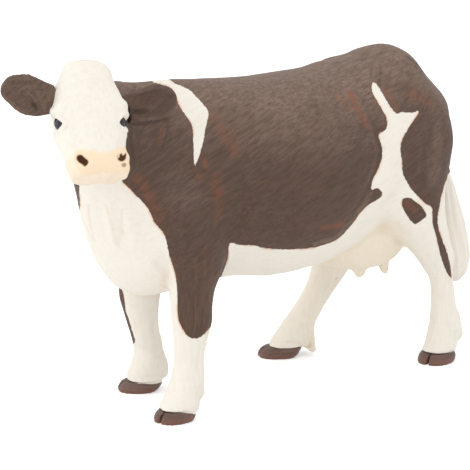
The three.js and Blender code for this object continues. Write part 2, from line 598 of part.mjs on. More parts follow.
// Torso: the trunk with the tops of the legs, and a socket for each piece that is glued in
let torso = trunk();
for (const leg of legs) {
  torso = torso.add(keepSeam(leg.form(), UP, new THREE.Vector3(0, 0, leg.seam)));
}
torso = keepSeam(torso, neckBack, neckPoint);
for (const plug of [headSpigot, udderSpigot, tailPin]) {
  torso = torso.subtract(plug(GLUE_GAP));
}

// Legs and hooves
for (const leg of legs) {
  const seamPoint = new THREE.Vector3(leg.at(leg.seam).x, leg.at(leg.seam).y, leg.seam);
  const coronetPoint = new THREE.Vector3(leg.at(CORONET_HEIGHT).x, leg.at(CORONET_HEIGHT).y, CORONET_HEIGHT);
  const legSpigot = (grow) => spigot({
    from: seamPoint.clone().addScaledVector(DOWN, SPIGOT_ROOT),
    direction: UP,
    radius: LEG_SPIGOT_WIDTH / Math.SQRT2,
    length: LEG_SPIGOT_LENGTH,
    sides: KEYED_SIDES,
    grow,
  });
  const hoofPin = (grow) => spigot({
    from: coronetPoint.clone().addScaledVector(DOWN, SPIGOT_ROOT),
    direction: UP,
    radius: HOOF_PIN_RADIUS,
    length: HOOF_PIN_LENGTH,
    sides: PIN_SIDES,
    grow,
  });
  torso = torso.subtract(legSpigot(GLUE_GAP));

  const group = new THREE.Group();
  group.position.set(leg.at(0).x, leg.at(0).y, 0);
  figure.add(group);
  const foot = leg.form().subtract(cleft(leg));
  const besideHoof = dewclaws(leg).subtract(keep(leg.form(GLUE_GAP), DOWN, coronetPoint));
  const shank = keepSeam(keepSeam(foot, DOWN, seamPoint), UP, coronetPoint).subtract(trunk(GLUE_GAP))
    .add(besideHoof).add(legSpigot(0));
  addPiece(group, `${leg.name}_leg`, shank.subtract(hoofPin(GLUE_GAP)), WHITE);
  addPiece(group, `${leg.name}_hoof`, keepSeam(foot, DOWN, coronetPoint).add(hoofPin(0)), HORN);
}
addPiece(figure, 'torso', torso, BROWN);

// Head, ears and eyes
const skin = fromHead(skull(GLUE_GAP));
let head = keepSeam(fromHead(skull()).add(trunk()), neckAhead, neckPoint).add(headSpigot(0));
head = head.subtract(fromHead(mouth()));
for (const side of [1, -1]) {
  const name = side > 0 ? 'left' : 'right';
  const lift = side > 0 ? LEFT_EAR_LIFT : RIGHT_EAR_LIFT;
  const cuts = [nostril(side), eye(side, GLUE_GAP), earPin(side, GLUE_GAP)];
  head = cuts.reduce((rest, cut) => rest.subtract(fromHead(cut)), head);
  const leaf = fromHead(ear(side, lift)).subtract(skin).subtract(trunk(GLUE_GAP));
  addPiece(headGroup, `${name}_ear`, leaf.add(fromHead(earPin(side, 0))), BROWN);
  addPiece(headGroup, `${name}_eye`, fromHead(eye(side)), GLOSS_BLACK);
}
addPiece(headGroup, 'head', head, WHITE);

// Udder and tail, each cut to the skin that it is glued to
const behind = legs.filter((leg) => leg.name.startsWith('hind'));
const clearOf = (solid) => {
  const outside = solid.subtract(trunk(GLUE_GAP));
  return behind.reduce((rest, leg) => rest.subtract(leg.form(GLUE_GAP)), outside);
};
let udder = levelLoft(udderStations, UDDER_STEPS, UDDER_SIDES, 0);
for (const ahead of [1, -1]) {
  for (const side of [1, -1]) {
    udder = udder.add(teat(ahead, side));
  }
}
addPiece(figure, 'udder', clearOf(udder).add(udderSpigot(0)), PINK);
const tailRoot = new THREE.Vector3(PIN_BONES_X + TAIL_ROOT_DEPTH, 0, 0);
const tail = keep(levelLoft(tailStations, TAIL_STEPS, TAIL_SIDES, 0), AHEAD.clone().negate(), tailRoot);
addPiece(figure, 'tail', clearOf(tail).add(tailPin(0)), WHITE);

const box = new THREE.Box3().setFromObject(figure, true);
const middle = box.getCenter(new THREE.Vector3());
figure.position.set(-middle.x, -middle.y, -box.min.z);

export default figure;
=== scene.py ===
# %% [markdown]
# # A spotted dairy cow, cast in soft PVC and painted by hand
# The figure stands about 85 mm tall. The solids that come with it already say where each piece sits and how
# large it is, so they are loaded first as a fixed frame.

# %% Load the frame
import json
import math

import bmesh
import bpy
import numpy as np
from mathutils import Matrix, Vector, noise
from mathutils.bvhtree import BVHTree

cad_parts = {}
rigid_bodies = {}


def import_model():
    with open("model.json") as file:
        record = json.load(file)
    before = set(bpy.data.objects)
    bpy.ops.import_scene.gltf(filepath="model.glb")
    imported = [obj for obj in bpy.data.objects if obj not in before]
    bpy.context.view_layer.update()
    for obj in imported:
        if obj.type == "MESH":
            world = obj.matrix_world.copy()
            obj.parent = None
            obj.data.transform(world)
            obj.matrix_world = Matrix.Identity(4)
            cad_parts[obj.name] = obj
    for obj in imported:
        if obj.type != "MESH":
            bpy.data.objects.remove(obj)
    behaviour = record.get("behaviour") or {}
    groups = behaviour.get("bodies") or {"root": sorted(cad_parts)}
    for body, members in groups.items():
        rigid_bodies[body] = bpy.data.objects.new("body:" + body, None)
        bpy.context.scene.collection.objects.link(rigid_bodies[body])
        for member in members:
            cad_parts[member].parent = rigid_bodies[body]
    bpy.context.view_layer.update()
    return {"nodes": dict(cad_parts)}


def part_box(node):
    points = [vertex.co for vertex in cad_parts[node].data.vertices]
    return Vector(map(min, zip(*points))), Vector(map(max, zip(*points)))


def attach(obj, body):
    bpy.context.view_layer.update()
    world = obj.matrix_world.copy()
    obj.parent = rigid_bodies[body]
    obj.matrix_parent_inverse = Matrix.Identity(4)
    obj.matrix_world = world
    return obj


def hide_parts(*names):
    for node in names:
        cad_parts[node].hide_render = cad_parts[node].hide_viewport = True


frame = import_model()
MM = 0.001

# %% [markdown]
# ## The figure's own axes
# A sculptor measures from the animal's midline and from the ground. Places in this lesson are millimetres on
# those axes: x runs from tail to breast, y to the cow's left and z up. The end of the rump and the middle of
# the torso's width tie them to the frame.

# %% Axes of the figure
RUMP_END_X = -51.5
torso_low, torso_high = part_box("torso")
ORIGIN = np.array([torso_low.x - RUMP_END_X * MM, (torso_low.y + torso_high.y) / 2, 0])

POLL = np.array([56.9, 4.3, 84.0])
HEAD_NOD = math.radians(42)
HEAD_TURN = math.radians(63)
HEAD_ROLL = math.radians(-2.5)
HEAD_AXES = np.array(Matrix.Rotation(HEAD_TURN, 3, "Z") @ Matrix.Rotation(HEAD_NOD, 3, "Y")
                     @ Matrix.Rotation(HEAD_ROLL, 3, "X"))


def in_frame(points):
    """Points in millimetres on the figure's axes, as metres in the frame."""
    return np.asarray(points) * MM + ORIGIN


def from_head(x, y, z):
    """A place on the head, with x from poll to nose, y to its left and z out of the face."""
    return POLL + HEAD_AXES @ np.array([x, y, z])


def to_head(points):
    return (points - POLL) @ HEAD_AXES


def smoothstep(low, high, value):
    share = np.clip((value - low) / (high - low), 0, 1)
    return share * share * (3 - 2 * share)


print("figure's origin in the frame, mm:", np.round(ORIGIN / MM, 2))

# %% [markdown]
# ## The camera
# The photo looks down a little at the left front of the cow, from far away through a long lens. The same view
# is set up first, because the coat's borders and many folds are drawn as they are seen from there: a pixel of
# the photo is then a line of sight that ends on the skin.

# %% Camera
PHOTO_SIDE = 470
VIEW_AZIMUTH = math.radians(140)
VIEW_ELEVATION = math.radians(13.2)
VIEW_DISTANCE = 750
AIM = np.array([10.1, 0, 37])
PIXELS_PER_MM = 4.25
SENSOR = 36
CLIP_START = 0.05

BACKWARD = np.array([
    math.sin(VIEW_AZIMUTH) * math.cos(VIEW_ELEVATION),
    -math.cos(VIEW_AZIMUTH) * math.cos(VIEW_ELEVATION),
    math.sin(VIEW_ELEVATION),
])
RIGHTWARD = np.array([math.cos(VIEW_AZIMUTH), math.sin(VIEW_AZIMUTH), 0])
UPWARD = np.cross(BACKWARD, RIGHTWARD)
EYEPOINT = AIM + BACKWARD * VIEW_DISTANCE
FOCUS = PIXELS_PER_MM * VIEW_DISTANCE


def add_object(name, data):
    thing = bpy.data.objects.new(name, data)
    bpy.context.scene.collection.objects.link(thing)
    return thing


def look_along(thing, direction):
    """Turns a camera or a lamp to look along a direction."""
    thing.rotation_mode = "QUATERNION"
    thing.rotation_quaternion = Vector(direction).to_track_quat("-Z", "Y")


lens = bpy.data.cameras.new("camera")
lens.sensor_width = SENSOR
lens.lens = FOCUS * SENSOR / PHOTO_SIDE
lens.clip_start = CLIP_START
camera = add_object("camera", lens)
camera.location = in_frame(EYEPOINT)
look_along(camera, -BACKWARD)
bpy.context.scene.camera = camera
bpy.context.scene.view_settings.view_transform = "Standard"


def pixels_of(points):
    """Where points on the figure are seen in the photo."""
    offset = points - EYEPOINT
    depth = -(offset @ BACKWARD)
    across = PHOTO_SIDE / 2 + FOCUS * (offset @ RIGHTWARD) / depth
    down = PHOTO_SIDE / 2 - FOCUS * (offset @ UPWARD) / depth
    return np.stack([across, down], axis=1)


def sight_line(pixel):
    """The direction from the camera through a pixel."""
    across = (pixel[0] - PHOTO_SIDE / 2) / FOCUS
    up = (PHOTO_SIDE / 2 - pixel[1]) / FOCUS
    line = across * RIGHTWARD + up * UPWARD - BACKWARD
    return line / np.linalg.norm(line)


print("lens in mm:", round(lens.lens, 1))

# %% [markdown]
# ## Floor and light
# The photo is a plain catalogue picture: white all round, soft light from above, hardly a shadow. A pale
# floor under a white sky does that. The sky lights at a plain level, so that paint looks as it was mixed. A
# wide lamp overhead makes the back a little lighter than the belly, and two weaker ones, in front and at the
# cow's right, give face and breast their form.

# %% Floor, sky and lamps
FLOOR_SIDE = 6
SKY_LEVEL = 0.9
FLOOR_LIFT = 0.4
PAPER_LEVEL = 0.92
LAMPS = (
    # name, place in millimetres, power in watts and side in metres
    ("overhead_lamp", (40, 160, 620), 0.5, 0.6),
    ("front_lamp", (380, 520, 220), 0.28, 0.5),
    ("side_lamp", (480, -260, 160), 0.66, 0.5),
)


def deselect():
    if bpy.context.mode != "OBJECT":
        bpy.ops.object.mode_set(mode="OBJECT")
    bpy.ops.object.select_all(action="DESELECT")


def new_material(name):
    material = bpy.data.materials.new(name)
    material.use_nodes = True
    material.node_tree.nodes.clear()
    return material, material.node_tree.nodes, material.node_tree.links


def add_lamp(name, place, energy, side):
    data = bpy.data.lights.new(name, "AREA")
    data.energy = energy
    data.size = side
    lamp = add_object(name, data)
    lamp.location = in_frame(place)
    look_along(lamp, AIM - np.array(place))


def background_rays(nodes, links):
    """1 for a ray that should see plain white: one from the camera, or one off or through gloss."""
    path = nodes.new("ShaderNodeLightPath")
    total = path.outputs["Is Camera Ray"]
    for name in ("Is Glossy Ray", "Is Transmission Ray"):
        either = nodes.new("ShaderNodeMath")
        either.operation = "MAXIMUM"
        links.new(total, either.inputs[0])
        links.new(path.outputs[name], either.inputs[1])
        total = either.outputs[0]
    return total


deselect()
bpy.ops.mesh.primitive_plane_add(size=FLOOR_SIDE, location=(0, 0, 0))
floor = bpy.context.object
floor.name = "floor"
paper, nodes, links = new_material("white_paper")
matte = nodes.new("ShaderNodeBsdfDiffuse")
matte.inputs["Color"].default_value = (PAPER_LEVEL, PAPER_LEVEL, PAPER_LEVEL, 1)
glow = nodes.new("ShaderNodeEmission")
both = nodes.new("ShaderNodeAddShader")
lift = nodes.new("ShaderNodeMath")
lift.operation = "MULTIPLY"
lift.inputs[1].default_value = FLOOR_LIFT
links.new(background_rays(nodes, links), lift.inputs[0])
links.new(lift.outputs[0], glow.inputs["Strength"])
links.new(matte.outputs[0], both.inputs[0])
links.new(glow.outputs[0], both.inputs[1])
links.new(both.outputs[0], nodes.new("ShaderNodeOutputMaterial").inputs["Surface"])
floor.data.materials.append(paper)

sky = bpy.data.worlds.new("white_sky")
sky.use_nodes = True
nodes = sky.node_tree.nodes
links = sky.node_tree.links
level = nodes.new("ShaderNodeMapRange")
level.inputs["To Min"].default_value = SKY_LEVEL
level.inputs["To Max"].default_value = 1
links.new(background_rays(nodes, links), level.inputs["Value"])
links.new(level.outputs["Result"], nodes["Background"].inputs["Strength"])
nodes["Background"].inputs["Color"].default_value = (1, 1, 1, 1)
bpy.context.scene.world = sky

for lamp in LAMPS:
    add_lamp(*lamp)
print("lamps:", [lamp[0] for lamp in LAMPS])

# %% [markdown]
# ## The clay blank
# The real figure was sculpted as one animal and cut into pieces for moulding afterwards. The lesson does the
# same: copies of the solids of the body are joined, swollen until the glue gaps between them close, turned
# into one even skin by a voxel remesh, and shrunk back. Lofting the body again would also work, but then two
# sets of sizes would have to agree.

# %% Copies of the solids and a single skin
LEGS = ("front_left", "front_right", "hind_left", "hind_right")
BODY_NODES = ["torso", "udder", "head", "left_eye", "right_eye"]
BODY_NODES += [f"{leg}_leg" for leg in LEGS]
GAP_SWELL = 0.25
BODY_VOXEL = 0.52
MERGE_DISTANCE = 0.001


def choose(*pieces):
    deselect()
    for piece in pieces:
        piece.select_set(True)
    bpy.context.view_layer.objects.active = pieces[0]


def edit(piece, mode="VERT"):
    """Opens a piece in edit mode with all of it selected."""
    choose(piece)
    bpy.ops.object.mode_set(mode="EDIT")
    bpy.ops.mesh.select_mode(type=mode)
    bpy.ops.mesh.select_all(action="SELECT")


def apply_modifier(piece, kind, **settings):
    modifier = piece.modifiers.new(kind.lower(), kind)
    for name, value in settings.items():
        setattr(modifier, name, value)
    choose(piece)
    bpy.ops.object.modifier_apply(modifier=modifier.name)


def copy_of(nodes, name):
    """One new piece from copies of these solids, with their loose triangles merged."""
    copies = []
    for node in nodes:
        copy = add_object(name, frame["nodes"][node].data.copy())
        copy.data.materials.clear()
        copies.append(copy)
    choose(*copies)
    if len(copies) > 1:
        bpy.ops.object.join()
    piece = copies[0]
    edit(piece)
    bpy.ops.mesh.remove_doubles(threshold=MERGE_DISTANCE * MM)
    deselect()
    piece.name = name
    return piece


def swell(piece, distance):
    apply_modifier(piece, "DISPLACE", strength=distance * MM, mid_level=0, direction="NORMAL")


def remesh(piece, voxel):
    apply_modifier(piece, "REMESH", mode="VOXEL", voxel_size=voxel * MM, use_smooth_shade=True)


def loose_parts(piece):
    """Parts a piece into what hangs together."""
    name = piece.name
    edit(piece)
    bpy.ops.mesh.separate(type="LOOSE")
    deselect()
    return [o for o in bpy.context.scene.objects if o.name.split(".")[0] == name]


def one_skin(piece, voxel, closing):
    """Turns a heap of solids into one skin, and drops the small closed pockets inside it."""
    swell(piece, closing)
    remesh(piece, voxel)
    name = piece.name
    parts = sorted(loose_parts(piece), key=lambda o: len(o.data.vertices), reverse=True)
    for pocket in parts[1:]:
        bpy.data.objects.remove(pocket)
    skin = parts[0]
    skin.name = name
    swell(skin, -closing)
    return skin


body = one_skin(copy_of(BODY_NODES, "body_blank"), BODY_VOXEL, GAP_SWELL)
print("points in the blank:", len(body.data.vertices))

# %% [markdown]
# ## Brushes
# A sculpting brush moves the points near it: along the skin's normal to swell or carve, or by a given way to
# pull. Brushes in Blender's window need a mouse, so these few functions do the same on arrays of points. A
# stroke may be drawn over the photo: each of its pixels is dropped along its line of sight onto the skin.

# %% Brushes
PIXEL_STEP = 4
STROKE_STEP = 1
PULL_DEPTH = 14
PULL_CORE = 0.6
SAME_SIDE = (-0.2, 0.4)
TAPER_END = 0.04
TAPER_POWER = 0.7
DOT_LENGTH = 1e-6
TINY = 1e-9


def soft(distance, radius):
    return np.clip(1 - (distance / radius) ** 2, 0, 1) ** 2


def sharp(distance, radius):
    return np.clip(1 - distance / radius, 0, 1) ** 2


def denser(line, step):
    """The same line with points no further apart than a step."""
    line = [np.asarray(point, float) for point in line]
    fine = []
    for here, there in zip(line, line[1:]):
        parts = max(1, math.ceil(np.linalg.norm(there - here) / step))
        fine += [here + (there - here) * k / parts for k in range(parts)]
    return fine + [line[-1]]


def read(items, name, width=3, kind=float):
    """What a mesh says of each of its points, edges or faces, one row for each."""
    flat = np.empty(len(items) * width, dtype=kind)
    items.foreach_get(name, flat)
    return flat.reshape(-1, width)


class Clay:
    """A piece in the sculptor's hands: its points in millimetres on the figure's axes."""

    def __init__(self, piece):
        self.piece = piece
        mesh = piece.data
        self.count = len(mesh.vertices)
        self.points = (read(mesh.vertices, "co") - ORIGIN) / MM
        pairs = read(mesh.edges, "vertices", 2, np.int64)
        self.first, self.second = pairs.T
        self.degree = np.bincount(pairs.ravel(), minlength=self.count)
        self.refresh()

    def refresh(self):
        """Puts the points into the mesh and reads its normals again."""
        mesh = self.piece.data
        mesh.vertices.foreach_set("co", in_frame(self.points).ravel())
        mesh.update()
        self.normals = read(mesh.vertices, "normal")
        self.tree = None

    def skin(self):
        if self.tree is None:
            faces = [tuple(face.vertices) for face in self.piece.data.polygons]
            self.tree = BVHTree.FromPolygons(self.points.tolist(), faces)
        return self.tree

    def average(self, values):
        """The mean of each point's neighbours."""
        total = np.empty_like(values)
        for k in range(values.shape[1]):
            column = values[:, k]
            total[:, k] = np.bincount(self.first, column[self.second], self.count)
            total[:, k] += np.bincount(self.second, column[self.first], self.count)
        return total / self.degree[:, None]

    def blur(self, values, rounds, share):
        share = np.broadcast_to(share, self.count)[:, None]
        for _ in range(rounds):
            values = values + share * (self.average(values) - values)
        return values

    def relax(self, rounds, share=0.5):
        """Evens out the skin, and gives back what that takes from its bulk."""
        once = self.blur(self.points, rounds, share)
        self.points = 2 * once - self.blur(once, rounds, share)
        self.refresh()

    def seen_at(self, pixel):
        return self.skin().ray_cast(Vector(EYEPOINT), Vector(sight_line(pixel)))[0]

    def trace(self, pixels):
        """Drops a line that is drawn over the photo onto the skin."""
        found = [self.seen_at(pixel) for pixel in denser(pixels, PIXEL_STEP)]
        return [np.array(place) for place in found if place is not None]

    def onto(self, places):
        """The nearest places on the skin."""
        return [np.array(self.skin().find_nearest(Vector(place))[0]) for place in places]

    def reach(self, line, radius):
        """The points within a radius of a line, how far off it they are, and how far along it, 0 to 1."""
        line = np.asarray(line, float)
        low = line.min(axis=0) - radius
        high = line.max(axis=0) + radius
        near = np.flatnonzero(np.all((self.points > low) & (self.points < high), axis=1))
        away = np.full(len(near), np.inf)
        along = np.zeros(len(near))
        facing = np.zeros((len(near), 3))
        toward = np.array([self.skin().find_nearest(Vector(place))[1] for place in line])
        spans = list(zip(line, line[1:])) or [(line[0], line[0] + DOT_LENGTH)]
        for k, (start, end) in enumerate(spans):
            way = end - start
            t = np.clip((self.points[near] - start) @ way / max(way @ way, TINY), 0, 1)
            distance = np.linalg.norm(self.points[near] - start - t[:, None] * way, axis=1)
            closer = distance < away
            away[closer] = distance[closer]
            along[closer] = (k + t[closer]) / len(spans)
            facing[closer] = toward[k]
        agree = smoothstep(*SAME_SIDE, np.sum(facing * self.normals[near], axis=1))
        return near, away, along, agree

    def draw(self, line, radius, height, brush=soft, taper=True):
        """A stroke along a line: a ridge for a positive height, a groove for a negative one."""
        if not len(line):
            return
        near, away, along, agree = self.reach(line, radius)
        amount = height * brush(away, radius) * agree
        if taper and len(line) > 1:
            amount = amount * np.sin(math.pi * np.clip(along, TAPER_END, 1 - TAPER_END)) ** TAPER_POWER
        self.points[near] += self.normals[near] * amount[:, None]

    def stroke(self, strokes):
        """Draws a table of strokes over the photo."""
        for width, height, pixels, *brush in strokes:
            self.draw(self.trace(pixels), width, height, *brush)
        self.refresh()

    def pull(self, place, radius, move):
        """Moves the clay about a place by a given way."""
        amount = soft(np.linalg.norm(self.points - place, axis=1), radius)
        self.points += amount[:, None] * np.asarray(move, float)

    def place_at(self, pixel):
        """The place seen at a pixel, or the nearest one on the outline where the pixel misses the skin."""
        found = self.seen_at(pixel)
        if found is not None:
            return np.array(found)
        missed = pixels_of(self.points) - np.array(pixel)
        return self.points[np.argmin(np.sum(missed ** 2, axis=1))]

    def pull_over_photo(self, pulls):
        """Moves what is seen about a pixel, and what lies just behind it, right and down by pixels."""
        for pixel, radius, (right, down) in pulls:
            seen = np.linalg.norm(pixels_of(self.points) - np.array(pixel), axis=1) / PIXELS_PER_MM
            behind = (self.place_at(pixel) - self.points) @ BACKWARD
            amount = soft(seen, radius) * (1 - smoothstep(PULL_CORE, 1, np.abs(behind) / PULL_DEPTH))
            self.points += amount[:, None] * (right * RIGHTWARD - down * UPWARD) / PIXELS_PER_MM
        self.refresh()

    def store(self, name, values):
        """Keeps one number for each point with the mesh, for the paint to read."""
        held = self.piece.data.attributes.new(name, "FLOAT", "POINT")
        held.data.foreach_set("value", values.astype(np.float32))


clay = Clay(body)
print("edges:", len(clay.first))

# %% [markdown]
# ## Evening out the facets
# The solids are faceted, with broad facets on the barrel and small ones on the legs. The clay is smoothed
# strongly where it is thick, which also rounds the corners where legs meet belly, and lightly on the legs and
# the head, so that these keep their bulk.

# %% Smooth the blank
NECK_SEAM = np.array([50, 1.45, 58.8])
NECK_AHEAD = np.array([0.917, 0.229, 0.326])
LEG_TO_TRUNK = (27, 42)
TRUNK_TO_HEAD = (-6, 3)
SMOOTH_ROUNDS = 70
SMOOTH_EVERYWHERE = 0.14
SMOOTH_TRUNK = 0.76


def ahead_of_neck(points):
    return (points - NECK_SEAM) @ NECK_AHEAD


thick = smoothstep(*LEG_TO_TRUNK, clay.points[:, 2])
thick *= 1 - smoothstep(*TRUNK_TO_HEAD, ahead_of_neck(clay.points))
clay.relax(SMOOTH_ROUNDS, SMOOTH_EVERYWHERE + SMOOTH_TRUNK * thick)
size = clay.points.max(axis=0) - clay.points.min(axis=0)
print("smoothed blank, mm:", np.round(size, 1))

# %% [markdown]
# ## More clay where the detail is
# Eyelids, nostrils and tendons are finer than the blank's mesh, so the faces of the head and of the lower
# legs are split once more. The rest keeps its size, because nothing that fine is modelled there.

# %% Finer mesh on head and legs
FINE_LEG_TOP = 30
FINE_HEAD_BACK = -3
FINE_FADE = 3
FINE_ROUNDS = 8
FINE_SMOOTHING = 0.5


def face_centres(piece):
    return (read(piece.data.polygons, "center") - ORIGIN) / MM


def open_faces(piece, wanted):
    """Opens a piece in edit mode with only some of its faces selected."""
    edit(piece, "FACE")
    bpy.ops.mesh.select_all(action="DESELECT")
    bpy.ops.object.mode_set(mode="OBJECT")
    piece.data.polygons.foreach_set("select", wanted)
    bpy.ops.object.mode_set(mode="EDIT")


centres = face_centres(body)
open_faces(body, (ahead_of_neck(centres) > FINE_HEAD_BACK) | (centres[:, 2] < FINE_LEG_TOP))
bpy.ops.mesh.subdivide(number_cuts=1)
deselect()
clay = Clay(body)
fine = np.maximum(smoothstep(FINE_HEAD_BACK, FINE_HEAD_BACK + FINE_FADE, ahead_of_neck(clay.points)),
                  1 - smoothstep(FINE_LEG_TOP - FINE_FADE, FINE_LEG_TOP, clay.points[:, 2]))
clay.relax(FINE_ROUNDS, FINE_SMOOTHING * fine)
print("points after splitting:", clay.count)

# %% [markdown]
# ## Bones and muscles
# Under the coat a cow shows its frame: shoulder blade, elbow, hook and pin bones, the hollow of the flank and
# the fold that runs down to the stifle. Each is a soft stroke over the photo. What has a twin on the far
# side, which the photo doesn't show, is mirrored about the midline, which swings with the neck towards the
# head.

# %% Strokes on the trunk
NECK_MIDLINE = ((44, 0), (47, 0.6), (50.5, 1.6), (54, 3.2), (58, 5))
TRUNK_STROKES = (
    # width, height, the line over the photo, and the brush where it isn't the soft one
    (8, 0.55, [(228, 88), (218, 118), (206, 150), (194, 182)]),
    (10, 0.6, [(203, 196), (206, 222)]),
    (4.5, -0.55, [(229, 243), (235, 222), (240, 200), (240, 172)]),
    (8, -0.4, [(243, 104), (247, 150)]),
    (3.2, -0.75, [(366, 104), (375, 128), (383, 148), (380, 168), (372, 186), (360, 207), (346, 228)]),
    (3, 0.5, [(350, 90), (356, 104), (362, 116), (370, 130)]),
    (6, 0.7, [(372, 70), (380, 72)]),
    (5, 0.4, [(384, 68), (408, 76), (430, 92)]),
    (9, -0.5, [(402, 98), (414, 104)]),
    (9, -0.45, [(338, 86), (346, 120)]),
    (8, 0.5, [(394, 170), (392, 196)]),
    (2.6, -0.5, [(431, 112), (433, 150), (430, 186)]),
    (7, 0.35, [(300, 60), (330, 62), (364, 66)]),
    (6, 0.3, [(150, 92), (180, 130), (176, 170)]),
    (5, -0.3, [(190, 108), (184, 150), (168, 190)]),
)
CHEST_STROKES = (
    (2.6, -0.3, [(100, 200), (103, 226), (110, 252)]),
    (2.4, 0.22, [(108, 196), (111, 224), (118, 254)]),
    (2.4, -0.3, [(118, 200), (122, 228), (128, 252)]),
    (2.4, 0.22, [(126, 206), (131, 230), (136, 250)]),
    (2.6, -0.28, [(136, 210), (142, 232), (148, 252)]),
    (4, 0.5, [(150, 252), (152, 268), (146, 284)]),
    (3, -0.45, [(160, 246), (165, 266), (166, 286)]),
    (1.5, -0.35, [(132, 117), (146, 119), (160, 116)], sharp),
    (1.3, -0.3, [(150, 110), (162, 112), (172, 118)], sharp),
    (1.4, 0.3, [(155, 113), (166, 115)]),
    (2.2, 0.3, [(163, 120), (163, 136), (158, 152)]),
    (2.6, -0.3, [(168, 120), (168, 138), (163, 156)]),
)


def midline(x):
    places, offsets = zip(*NECK_MIDLINE)
    return np.interp(x, places, offsets)


def mirrored(points):
    points = np.array(points, float)
    points[:, 1] = 2 * midline(points[:, 0]) - points[:, 1]
    return points


for width, height, pixels in TRUNK_STROKES:
    line = clay.trace(pixels)
    clay.draw(line, width, height)
    clay.draw(clay.onto(mirrored(line)), width, height)
clay.refresh()
clay.stroke(CHEST_STROKES)
print("trunk strokes:", len(TRUNK_STROKES), "chest strokes:", len(CHEST_STROKES))

# %% [markdown]
# ## Trimming the outline
# Laid over the photo, the blank is up to a millimetre and a half off in some places, such as the
# temples, the cheek above the muzzle and the back of the left hind leg. There the outline is pulled to where
# the photo has it.

# %% Trim to the photo
OUTLINE_PULLS = (
    # place over the photo, width in mm, and the way to the right and down in pixels
    ((126, 146), 2.8, (-4.5, 0)),
    ((128, 136), 2.4, (-3, 0)),
    ((128.5, 123), 2.2, (-6, 0)),
    ((128, 111), 2, (-2, 0)),
    ((52, 126), 2.6, (3, 0)),
    ((52, 114), 2, (-1, -3)),
    ((117, 183), 3, (-1, -5)),
    ((82, 184), 2.6, (1, -3)),
    ((55, 76), 4.5, (4.5, 0)),
    ((350, 52), 10, (0, 3)),
    ((336, 57), 6, (0, 1.3)),
    ((372, 44), 6, (0, 1)),
    ((430, 78), 8, (-3.4, 2.2)),
    ((453, 138), 7, (0.4, 0)),
    ((219, 298), 7, (-2.8, 0)),
    ((165, 350), 4, (-3, 0)),
    ((165, 82), 8, (0, -1.8)),
    ((457, 277), 6, (-6.5, 0)),
    ((457, 300), 4, (-2.5, 0)),
    ((362, 276), 1.6, (2, -4)),
    ((383, 275), 1.6, (2, 0)),
)
clay.pull_over_photo(OUTLINE_PULLS)
print("pulls:", len(OUTLINE_PULLS))

# %% [markdown]
# ## The face
# The face is drawn on the head's own axes, the same on both sides: brow, bridge of the nose, the hollow in
# front of the eye, cheek, jaw and lips. The nostrils and the mouth are traced from the photo, and each eyelid
# is an almond opening over an eyeball.

# %% Strokes on the face
FACE_STROKES = (
    (2.6, 0.5, [(9.5, 7.2, 0.8), (11.6, 8.6, -0.6), (13.2, 8.9, -1.6)]),
    (2.6, -0.4, [(16.6, 6.6, -0.2), (18.6, 6.2, -0.6)]),
    (2.2, -0.3, [(15.5, 4.9, 0.5), (19.5, 4.7, -0.2), (23, 4.8, -1)]),
    (3.6, 0.4, [(11, 8.7, -6.4), (14, 8.3, -9), (17, 7.6, -9)]),
    (1.8, -0.3, [(9, 7.2, -12), (15, 6.6, -11.4), (20.5, 5.9, -9.4)]),
    (3, 0.35, [(24.6, 6.2, -4.6), (25.4, 5.8, -6)]),
    (1.1, -0.4, [(26.8, 4.6, -7.1), (24.6, 6.8, -7.6), (21.6, 6.9, -7.3)], sharp),
)
MIDDLE_STROKES = (
    (6, 0.35, [(4.5, 0, 1.6), (7, 0, 1.4)]),
    (3.2, 0.25, [(13, 0, 0.8), (18, 0, 0.2), (23, 0, -0.6)]),
    (3, 0.25, [(26.5, 0, -9.6), (25, 0, -10.2)]),
)
FACE_PULLS = (
    # place, width and way on the head's axes
    ((3.5, 7, -2.5), 5, (0, -0.9, 0)),
    ((9, 8.4, -3.5), 4, (0, -0.5, 0)),
    ((28, 0, -10.5), 5, (-2.0, 0, 1.2)),
)
NOSTRILS = (
    [(119.5, 158.6), (122, 156.8), (125, 154.6)],
    [(79.6, 157.6), (83, 160), (86.5, 162)],
)
NOSTRIL_RIM = (2.4, 0.25)
NOSTRIL_HOLE = (1.2, -0.8)
MOUTH_GROOVE = (0.9, -0.3)
MOUTH_LINE = [(79, 179.4), (86, 177), (94, 174.4), (103, 172.4), (112.5, 173.3), (124, 175)]

for width, height, places, *brush in FACE_STROKES:
    for side in (1, -1):
        line = [from_head(x, side * y, z) for x, y, z in places]
        clay.draw(clay.onto(denser(line, STROKE_STEP)), width, height, *brush)
for width, height, places in MIDDLE_STROKES:
    line = [from_head(*place) for place in places]
    clay.draw(clay.onto(denser(line, STROKE_STEP)), width, height)
clay.refresh()
for place, radius, move in FACE_PULLS:
    clay.pull(from_head(*place), radius, HEAD_AXES @ np.array(move))
clay.refresh()
nostril_lines = [clay.trace(pixels) for pixels in NOSTRILS]
for line in nostril_lines:
    clay.draw(line, *NOSTRIL_RIM, taper=False)
clay.refresh()
for line in nostril_lines:
    clay.draw(line, *NOSTRIL_HOLE, taper=False)
clay.draw(clay.trace(MOUTH_LINE), *MOUTH_GROOVE, sharp)
clay.refresh()
print("face strokes:", 2 * len(FACE_STROKES) + len(MIDDLE_STROKES))

# %% [markdown]
# ## Outlines over the photo
# An opening or a border with an odd shape is easiest to draw as an outline over the photo. The corners are
# rounded by a curve through its points, and each point of the skin is told how deep inside it is seen.

# %% Outlines
CURVE_STEPS = 3


